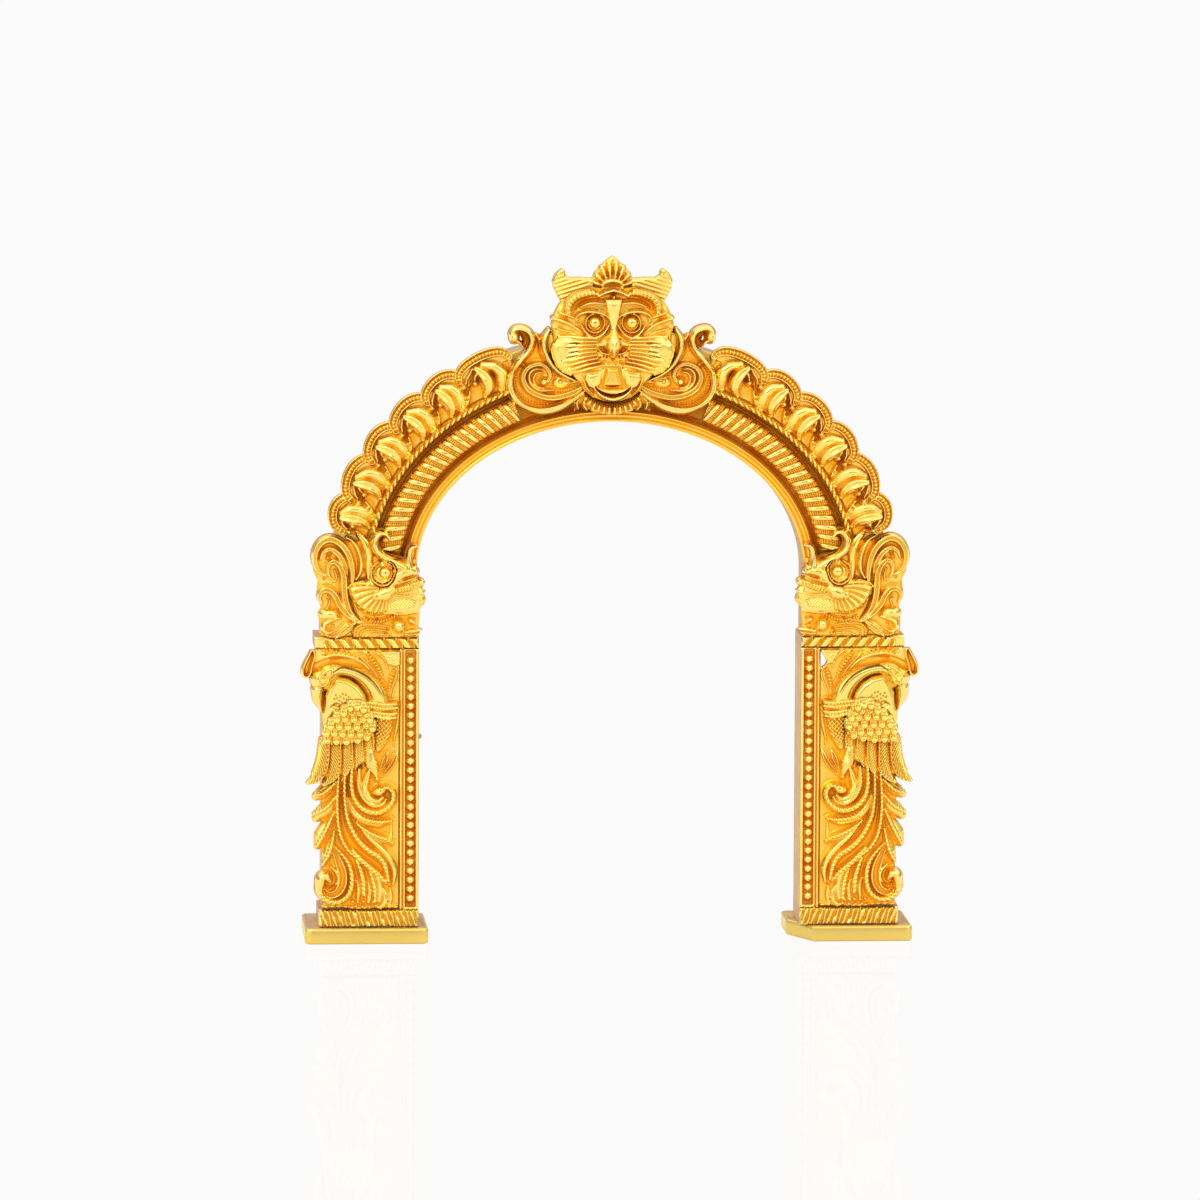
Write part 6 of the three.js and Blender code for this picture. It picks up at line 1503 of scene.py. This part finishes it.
def gold_material(name, finish, rough=0.0, pit=1.0, haze=0.0):
    """Polished gold plate over cast metal: painted shade in hollows and a painted highlight on
    crests, both read from hollow, pale matt walls, fine pits and haze."""
    material, maker = new_material(name)
    hollow = maker.attribute("hollow")
    side = maker.attribute("side")
    cloud = maker.noise(260.0, 4.0, 0.6)
    grain = maker.noise(2600.0, 3.0, 0.6)
    broad = maker.noise(90.0, 2.0, 0.5)
    # Painted highlight on crests, painted shade in hollows, deeper at the bottom of notches, and
    # darkest on the painted lines of shade and dark reflection
    base = maker.mix((hollow * -0.6).clamped(), colour(finish.gold), colour(finish.bright))
    base = maker.mix((hollow * 1.15).clamped(), base, colour(finish.deep))
    base = maker.mix(((hollow - 1.05) * 2.0).clamped(), base, colour(finish.dark))
    base = maker.mix(((hollow - 2.2) * 4.0).clamped(), base, colour(finish.line_shade_and_reflection))
    matt = (side + haze).clamped()
    base = maker.mix(matt, base, colour(finish.pale))
    base = maker.mix(((cloud - 0.42) * 1.2).clamped(), base, colour(finish.warm))
    roughness = finish.roughness + rough + (cloud - 0.5) * 0.08
    roughness = roughness + (hollow * 0.22).clamped() + matt * 0.36
    pits = ((maker.noise(1500.0, 2.0, 0.7) - 0.66) * 6.0).clamped()
    height = broad * 0.5 + cloud * 0.35 + grain * 0.10 - pits * (0.35 * pit)
    bump = maker.node("ShaderNodeBump", {}, Strength=0.3, Distance=0.00012, Height=height)
    shader = maker.node(
        "ShaderNodeBsdfPrincipled",
        {},
        Base_Color=base,
        Metallic=(1.0 - hollow.clamped() * 0.5 - matt * 0.5).clamped(),
        Roughness=roughness.clamped(),
        Specular_IOR_Level=0.15,
        Normal=bump.outputs[0],
    )
    maker.node("ShaderNodeOutputMaterial", {}, Surface=shader.outputs[0])
    return material


def brass_material(finish):
    """Plain turned brass for the hidden fasteners, with faint turning marks."""
    material, maker = new_material("fastener_brass")
    cloud = maker.noise(400.0, 3.0, 0.6)
    base = maker.mix(cloud, colour(finish.brass), colour([0.8 * part for part in finish.brass]))
    bump = maker.node("ShaderNodeBump", {}, Strength=0.3, Distance=0.0001,
        Height=maker.noise(3000.0))
    roughness = 0.3 + cloud * 0.15
    shader = maker.node("ShaderNodeBsdfPrincipled", {}, Base_Color=base, Metallic=1.0,
        Roughness=roughness, Normal=bump.outputs[0])
    maker.node("ShaderNodeOutputMaterial", {}, Surface=shader.outputs[0])
    return material


# Settings a user may change


class AureoleFinish(bpy.types.PropertyGroup):
    gold: bpy.props.FloatVectorProperty(name="Gold", description="Colour of the polished plate",
        subtype="COLOR", default=(0.86, 0.65, 0.155), min=0, max=1)
    bright: bpy.props.FloatVectorProperty(name="Bright gold",
        description="Colour of the highlighted crests", subtype="COLOR", default=(0.94, 0.75, 0.32),
        # Painted highlight: crests, where hollow is below zero, are mixed towards this colour
        min=0, max=1)
    warm: bpy.props.FloatVectorProperty(name="Warm gold",
        description="Colour of the clouded places", subtype="COLOR", default=(0.84, 0.58, 0.11),
        min=0, max=1)
    # Painted shade: hollows are mixed towards this deep orange, for their shade and the light that
    # the gold bounces into them
    deep: bpy.props.FloatVectorProperty(name="Deep gold", description="Colour in the hollows",
        subtype="COLOR", default=(0.95, 0.44, 0.008), min=0, max=1)
    # Painted shade at the bottom of the deepest notches
    dark: bpy.props.FloatVectorProperty(name="Dark gold",
        description="Colour at the bottom of the deepest notches", subtype="COLOR",
        default=(0.44, 0.09, 0.001), min=0, max=1)
    # Painted shade and painted dark reflections: the colour of the fine dark lines laid down with
    # shade_and_reflection
    line_shade_and_reflection: bpy.props.FloatVectorProperty(name="Soot",
        description="Colour of old polish in fine lines", subtype="COLOR",
        default=(0.10, 0.055, 0.012), min=0, max=1)
    pale: bpy.props.FloatVectorProperty(name="Pale gold",
        description="Colour of the thin plate on side walls", subtype="COLOR",
        default=(0.47, 0.295, 0.175), min=0, max=1)
    brass: bpy.props.FloatVectorProperty(name="Brass", description="Colour of the fasteners",
        subtype="COLOR", default=(0.78, 0.57, 0.28), min=0, max=1)
    roughness: bpy.props.FloatProperty(name="Roughness",
        description="Roughness of the polished plate", default=0.17, min=0, max=1)


class AureoleSizes(bpy.types.PropertyGroup):
    bead_radius: bpy.props.FloatProperty(name="Bead radius",
        description="Radius of the pillar beads, in millimetres", default=0.79, min=0.2, max=1.0)
    bead_pitch: bpy.props.FloatProperty(name="Bead pitch",
        description="Distance between pillar beads, in millimetres", default=1.605, min=1.0,
        max=3.0)
    rib_pitch: bpy.props.FloatProperty(name="Rib pitch",
        description="Distance between the ribs of the arch roll, in millimetres", default=1.47,
        min=0.6, max=3.0)
    rope_pitch: bpy.props.FloatProperty(name="Rope pitch",
        description="Distance between the twists of the rope, in millimetres", default=0.94,
        min=0.3, max=2.0)


def dress(node, material):
    """Gives a node of the CAD frame that material alone."""
    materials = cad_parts[node].data.materials
    materials.clear()
    materials.append(material)


def gold(context, name="relief_gold", haze=0.0):
    """The gold material of that name, made when it is first asked for. haze is its share of pale
    matt plate."""
    title = f"{name}_plate" if haze == 0 else f"{name}_matt_plate"
    found = bpy.data.materials.get(title)
    if found:
        return found
    rough, pit = (0.1, 2.2) if name == "foot_gold" else (0.0, 1.0)
    return gold_material(title, context.scene.aureole_finish, rough=rough, pit=pit, haze=haze)


class AUREOLE_OT_feet(bpy.types.Operator):
    """Foot plates"""

    bl_idname = "aureole.feet"
    bl_label = "Foot plates"

    def execute(self, context):
        material = gold(context, "foot_gold", haze=0.15)
        place_pair("foot_plate", foot_plate(True), material, foot_plate(False),
            sharp=40)
        return {"FINISHED"}


class AUREOLE_OT_blocks(bpy.types.Operator):
    """Plinths and capitals with slanting flutes"""

    bl_idname = "aureole.blocks"
    bl_label = "Plinths and capitals"

    def execute(self, context):
        material = gold(context)
        shape = fluted_block(PILLAR_INNER, edge("right_plinth", 1, 0), edge("right_plinth", 0, 2),
            PILLAR_BASE, edge("right_plinth", 0, 1) + 0.5, pitch=0.92, slant=1.1, plain=0.1,
            depth=1.0, wander=0.16)
        place_pair("plinth", shape, material)
        shape = fluted_block(PILLAR_INNER, edge("right_capital", 1, 0), PILLAR_TOP, LEG_BASE,
            edge("right_capital", 0, 1) + 0.6, pitch=2.1, slant=1.5, plain=1.6, depth=1.25,
            wander=0.0)
        place_pair("capital", shape, material)
        return {"FINISHED"}


class AUREOLE_OT_strips(bpy.types.Operator):
    """Beaded strips along the pillars"""

    bl_idname = "aureole.strips"
    bl_label = "Beaded strips"

    def execute(self, context):
        sizes = context.scene.aureole_sizes
        shape = bead_strip(sizes.bead_radius, sizes.bead_pitch)
        place_pair("bead_strip", shape, gold(context))
        return {"FINISHED"}


class AUREOLE_OT_shells(bpy.types.Operator):
    """Arch shell and pillar shells"""

    bl_idname = "aureole.shells"
    bl_label = "Shells"

    def execute(self, context):
        place_one("arch_shell", arch_shell(), gold(context, "shell_gold"), sharp=50)
        material = gold(context, "shell_gold", haze=0.9)
        for side in ("left", "right"):
            dress(f"{side}_pillar_shell", material)
        return {"FINISHED"}


class AUREOLE_OT_peacocks(bpy.types.Operator):
    """Peacocks with their wings, crests and tails"""

    bl_idname = "aureole.peacocks"
    bl_label = "Peacocks"

    def execute(self, context):
        material = gold(context)
        place_pair("peacock_body", peacock_body(True), material, left=peacock_body(False))
        place_pair("peacock_wing", peacock_wing(), material)
        place_pair("crest_spray", crest_spray(True), material, left=crest_spray(False))
        place_pair("tail_plumes", tail_plumes(), material)
        return {"FINISHED"}


class AUREOLE_OT_beasts(bpy.types.Operator):
    """Water beasts and their plumes"""

    bl_idname = "aureole.beasts"
    bl_label = "Water beasts"

    def execute(self, context):
        material = gold(context)
        place_pair("beast_head", beast_head(), material)
        place_pair("beast_plume", beast_plume(), material)
        return {"FINISHED"}


class AUREOLE_OT_mouldings(bpy.types.Operator):
    """Roll, rope, vine and cusped border of the arch"""

    bl_idname = "aureole.mouldings"
    bl_label = "Arch mouldings"

    def execute(self, context):
        sizes = context.scene.aureole_sizes
        material = gold(context)
        place_pair("ribbed_roll", ribbed_roll(sizes.rib_pitch), material)
        place_pair("rope_moulding", rope_moulding(sizes.rope_pitch), material)
        place_pair("vine_band", vine_band(), material)
        place_pair("cusped_border", cusped_border(), material)
        return {"FINISHED"}


class AUREOLE_OT_mask(bpy.types.Operator):
    """Mask with its crown, ears, beard and side scrolls"""

    bl_idname = "aureole.mask"
    bl_label = "Mask"

    def execute(self, context):
        material = gold(context)
        place_one("lion_mask", lion_mask(), material)
        place_one("crown_leaf", crown_leaf(), material)
        place_one("beard_ring", beard_ring(), material)
        place_pair("mask_horn", mask_ear(), material)
        place_pair("side_scroll", side_scroll(), material)
        return {"FINISHED"}


class AUREOLE_OT_fasteners(bpy.types.Operator):
    """Brass for the screws, dowels and rivets of the frame"""

    bl_idname = "aureole.fasteners"
    bl_label = "Fasteners"

    def execute(self, context):
        material = brass_material(context.scene.aureole_finish)
        for side in ("left", "right"):
            for name in ("foot_screw", "leg_dowel", "peacock_rivet", "beast_rivet", "mask_rivet"):
                dress(f"{side}_{name}", material)
        return {"FINISHED"}


# Camera, lamps and floor, in metres, watts and degrees. The lens and its sensor are in millimetres.
CAMERA_PLACE = (-0.108, -1.500, 0.235)
CAMERA_AIM = (-0.00184, -0.005, 0.05998)
CAMERA_ROLL = 0.28
LENS_LENGTH = 260.5
SENSOR_WIDTH = 36.0
FLOOR_HALF = 6.0
STAGE_MIDDLE = (0, 0, 0.06)
LAMPS = (("key", (-0.55, -0.75, 0.95), 0.6, 4.5), ("fill", (0.75, -0.55, 0.55), 0.45, 1.2))


class AUREOLE_OT_stage(bpy.types.Operator):
    """Floor, world, lamps and camera"""

    bl_idname = "aureole.stage"
    bl_label = "Stage"

    def execute(self, context):
        scene = context.scene
        mesh = bpy.data.meshes.new("floor")
        corners = [(x * FLOOR_HALF, y * FLOOR_HALF, 0) for x, y in ((-1, -1), (1, -1), (1, 1),
            (-1, 1))]
        mesh.from_pydata(corners, [], [(0, 1, 2, 3)])
        floor = bpy.data.objects.new("floor", mesh)
        scene.collection.objects.link(floor)
        mesh.materials.append(floor_material())
        scene.world = studio_world()
        for name, place, size, power in LAMPS:
            lamp(scene, name, place, size, power)
        lens = bpy.data.cameras.new("camera")
        lens.lens = LENS_LENGTH
        lens.sensor_width = SENSOR_WIDTH
        lens.clip_start = 0.01
        camera = bpy.data.objects.new("camera", lens)
        camera.location = CAMERA_PLACE
        aim = Vector(CAMERA_AIM) - Vector(CAMERA_PLACE)
        roll = Matrix.Rotation(math.radians(CAMERA_ROLL), 3, "Z")
        camera.rotation_euler = (aim.to_track_quat("-Z", "Y").to_matrix() @ roll).to_euler()
        scene.collection.objects.link(camera)
        scene.camera = camera
        scene.view_settings.view_transform = "Standard"
        return {"FINISHED"}


def lamp(scene, name, place, size, power):
    """A square lamp that points at the middle of the stage."""
    data = bpy.data.lights.new(name, "AREA")
    data.size = size
    data.energy = power
    obj = bpy.data.objects.new(name, data)
    obj.location = place
    obj.rotation_euler = (Vector(STAGE_MIDDLE) - Vector(place)).to_track_quat("-Z", "Y").to_euler()
    scene.collection.objects.link(obj)


def floor_material():
    """A pale glossy table. What the camera sees is mostly plain white, so its shadows and the
    mirror image of the feet stay faint."""
    material, maker = new_material("table")
    path = maker.node("ShaderNodeLightPath", {})
    white = maker.node("ShaderNodeEmission", {}, Color=(1, 1, 1, 1), Strength=1.0)
    matt = maker.node("ShaderNodeBsdfDiffuse", {}, Color=(0.82, 0.81, 0.80, 1))
    shine = maker.node("ShaderNodeBsdfGlossy", {}, Color=(1, 1, 1, 1), Roughness=0.04)
    seen = maker.node("ShaderNodeMixShader", {}, 0.985, matt.outputs[0], white.outputs[0])
    seen = maker.node("ShaderNodeMixShader", {}, 0.07, seen.outputs[0], shine.outputs[0])
    share = Value(maker, path.outputs["Is Camera Ray"])
    mixed = maker.node("ShaderNodeMixShader", {}, share, matt.outputs[0], seen.outputs[0])
    maker.node("ShaderNodeOutputMaterial", {}, Surface=mixed.outputs[0])
    return material


def studio_world():
    """Plain white to the camera. As light it is a dim room with a bright roof, a large soft panel
    at the left, a smaller one at the right, and a dark patch round the place the picture is taken
    from."""
    world = bpy.data.worlds.new("studio")
    world.use_nodes = True
    maker = Maker(world.node_tree)
    way = maker.node("ShaderNodeTexCoord", {}).outputs["Generated"]
    toward = Vector(CAMERA_PLACE) - Vector(STAGE_MIDDLE)

    def patch(direction, core, rim):
        """1 within core degrees of a direction, falling to 0 at rim degrees."""
        aim = Vector(direction).normalized()
        dot = maker.node("ShaderNodeVectorMath", {"operation": "DOT_PRODUCT"}, way, tuple(aim))
        inner, outer = math.cos(math.radians(core)), math.cos(math.radians(rim))
        return ((Value(maker, dot.outputs["Value"]) - outer) * (1 / (inner - outer))).clamped()

    height = Value(maker, maker.node("ShaderNodeSeparateXYZ", {}, way).outputs["Z"])
    roof = ((height - 0.22) * 2.4).clamped()
    front = patch(toward, 8, 32)
    left_panel = patch((-0.78, -0.52, 0.34), 14, 34)
    right_panel = patch((0.82, -0.50, 0.25), 12, 30)
    dark = patch(toward, 6.5, 10.0)
    strength = 0.46 + roof * 0.95 + front * 0.26 + left_panel * 0.85 + right_panel * 0.40
    strength = strength * (1.0 - dark * 0.98)
    path = maker.node("ShaderNodeLightPath", {})
    seen = maker.node("ShaderNodeBackground", {}, Color=(1, 1, 1, 1), Strength=1.0)
    lit = maker.node("ShaderNodeBackground", {}, Color=(1.0, 0.98, 0.95, 1), Strength=strength)
    share = Value(maker, path.outputs["Is Camera Ray"])
    mixed = maker.node("ShaderNodeMixShader", {}, share, lit.outputs[0], seen.outputs[0])
    maker.node("ShaderNodeOutputWorld", {}, Surface=mixed.outputs[0])
    return world


OPERATORS = (
    AUREOLE_OT_feet,
    AUREOLE_OT_blocks,
    AUREOLE_OT_strips,
    AUREOLE_OT_shells,
    AUREOLE_OT_peacocks,
    AUREOLE_OT_beasts,
    AUREOLE_OT_mouldings,
    AUREOLE_OT_mask,
    AUREOLE_OT_fasteners,
    AUREOLE_OT_stage,
)


class AUREOLE_PT_panel(bpy.types.Panel):
    """Sizes, finishes and steps of the shrine arch"""

    bl_idname = "AUREOLE_PT_panel"
    bl_label = "Shrine Arch"
    bl_space_type = "VIEW_3D"
    bl_region_type = "UI"
    bl_category = "Shrine Arch"

    def draw(self, context):
        for group in (context.scene.aureole_sizes, context.scene.aureole_finish):
            for name in group.__annotations__:
                self.layout.prop(group, name)
        for operator in OPERATORS:
            self.layout.operator(operator.bl_idname)


CLASSES = (AureoleFinish, AureoleSizes, *OPERATORS, AUREOLE_PT_panel)


def register():
    for one in CLASSES:
        bpy.utils.register_class(one)
    bpy.types.Scene.aureole_finish = bpy.props.PointerProperty(type=AureoleFinish)
    bpy.types.Scene.aureole_sizes = bpy.props.PointerProperty(type=AureoleSizes)


def unregister():
    del bpy.types.Scene.aureole_sizes
    del bpy.types.Scene.aureole_finish
    for one in reversed(CLASSES):
        bpy.utils.unregister_class(one)


def main():
    register()
    bpy.ops.aureole.feet()
    bpy.ops.aureole.blocks()
    bpy.ops.aureole.strips()
    bpy.ops.aureole.shells()
    bpy.ops.aureole.peacocks()
    bpy.ops.aureole.beasts()
    bpy.ops.aureole.mouldings()
    bpy.ops.aureole.mask()
    bpy.ops.aureole.fasteners()
    bpy.ops.aureole.stage()


if __name__ == "__main__":
    main()
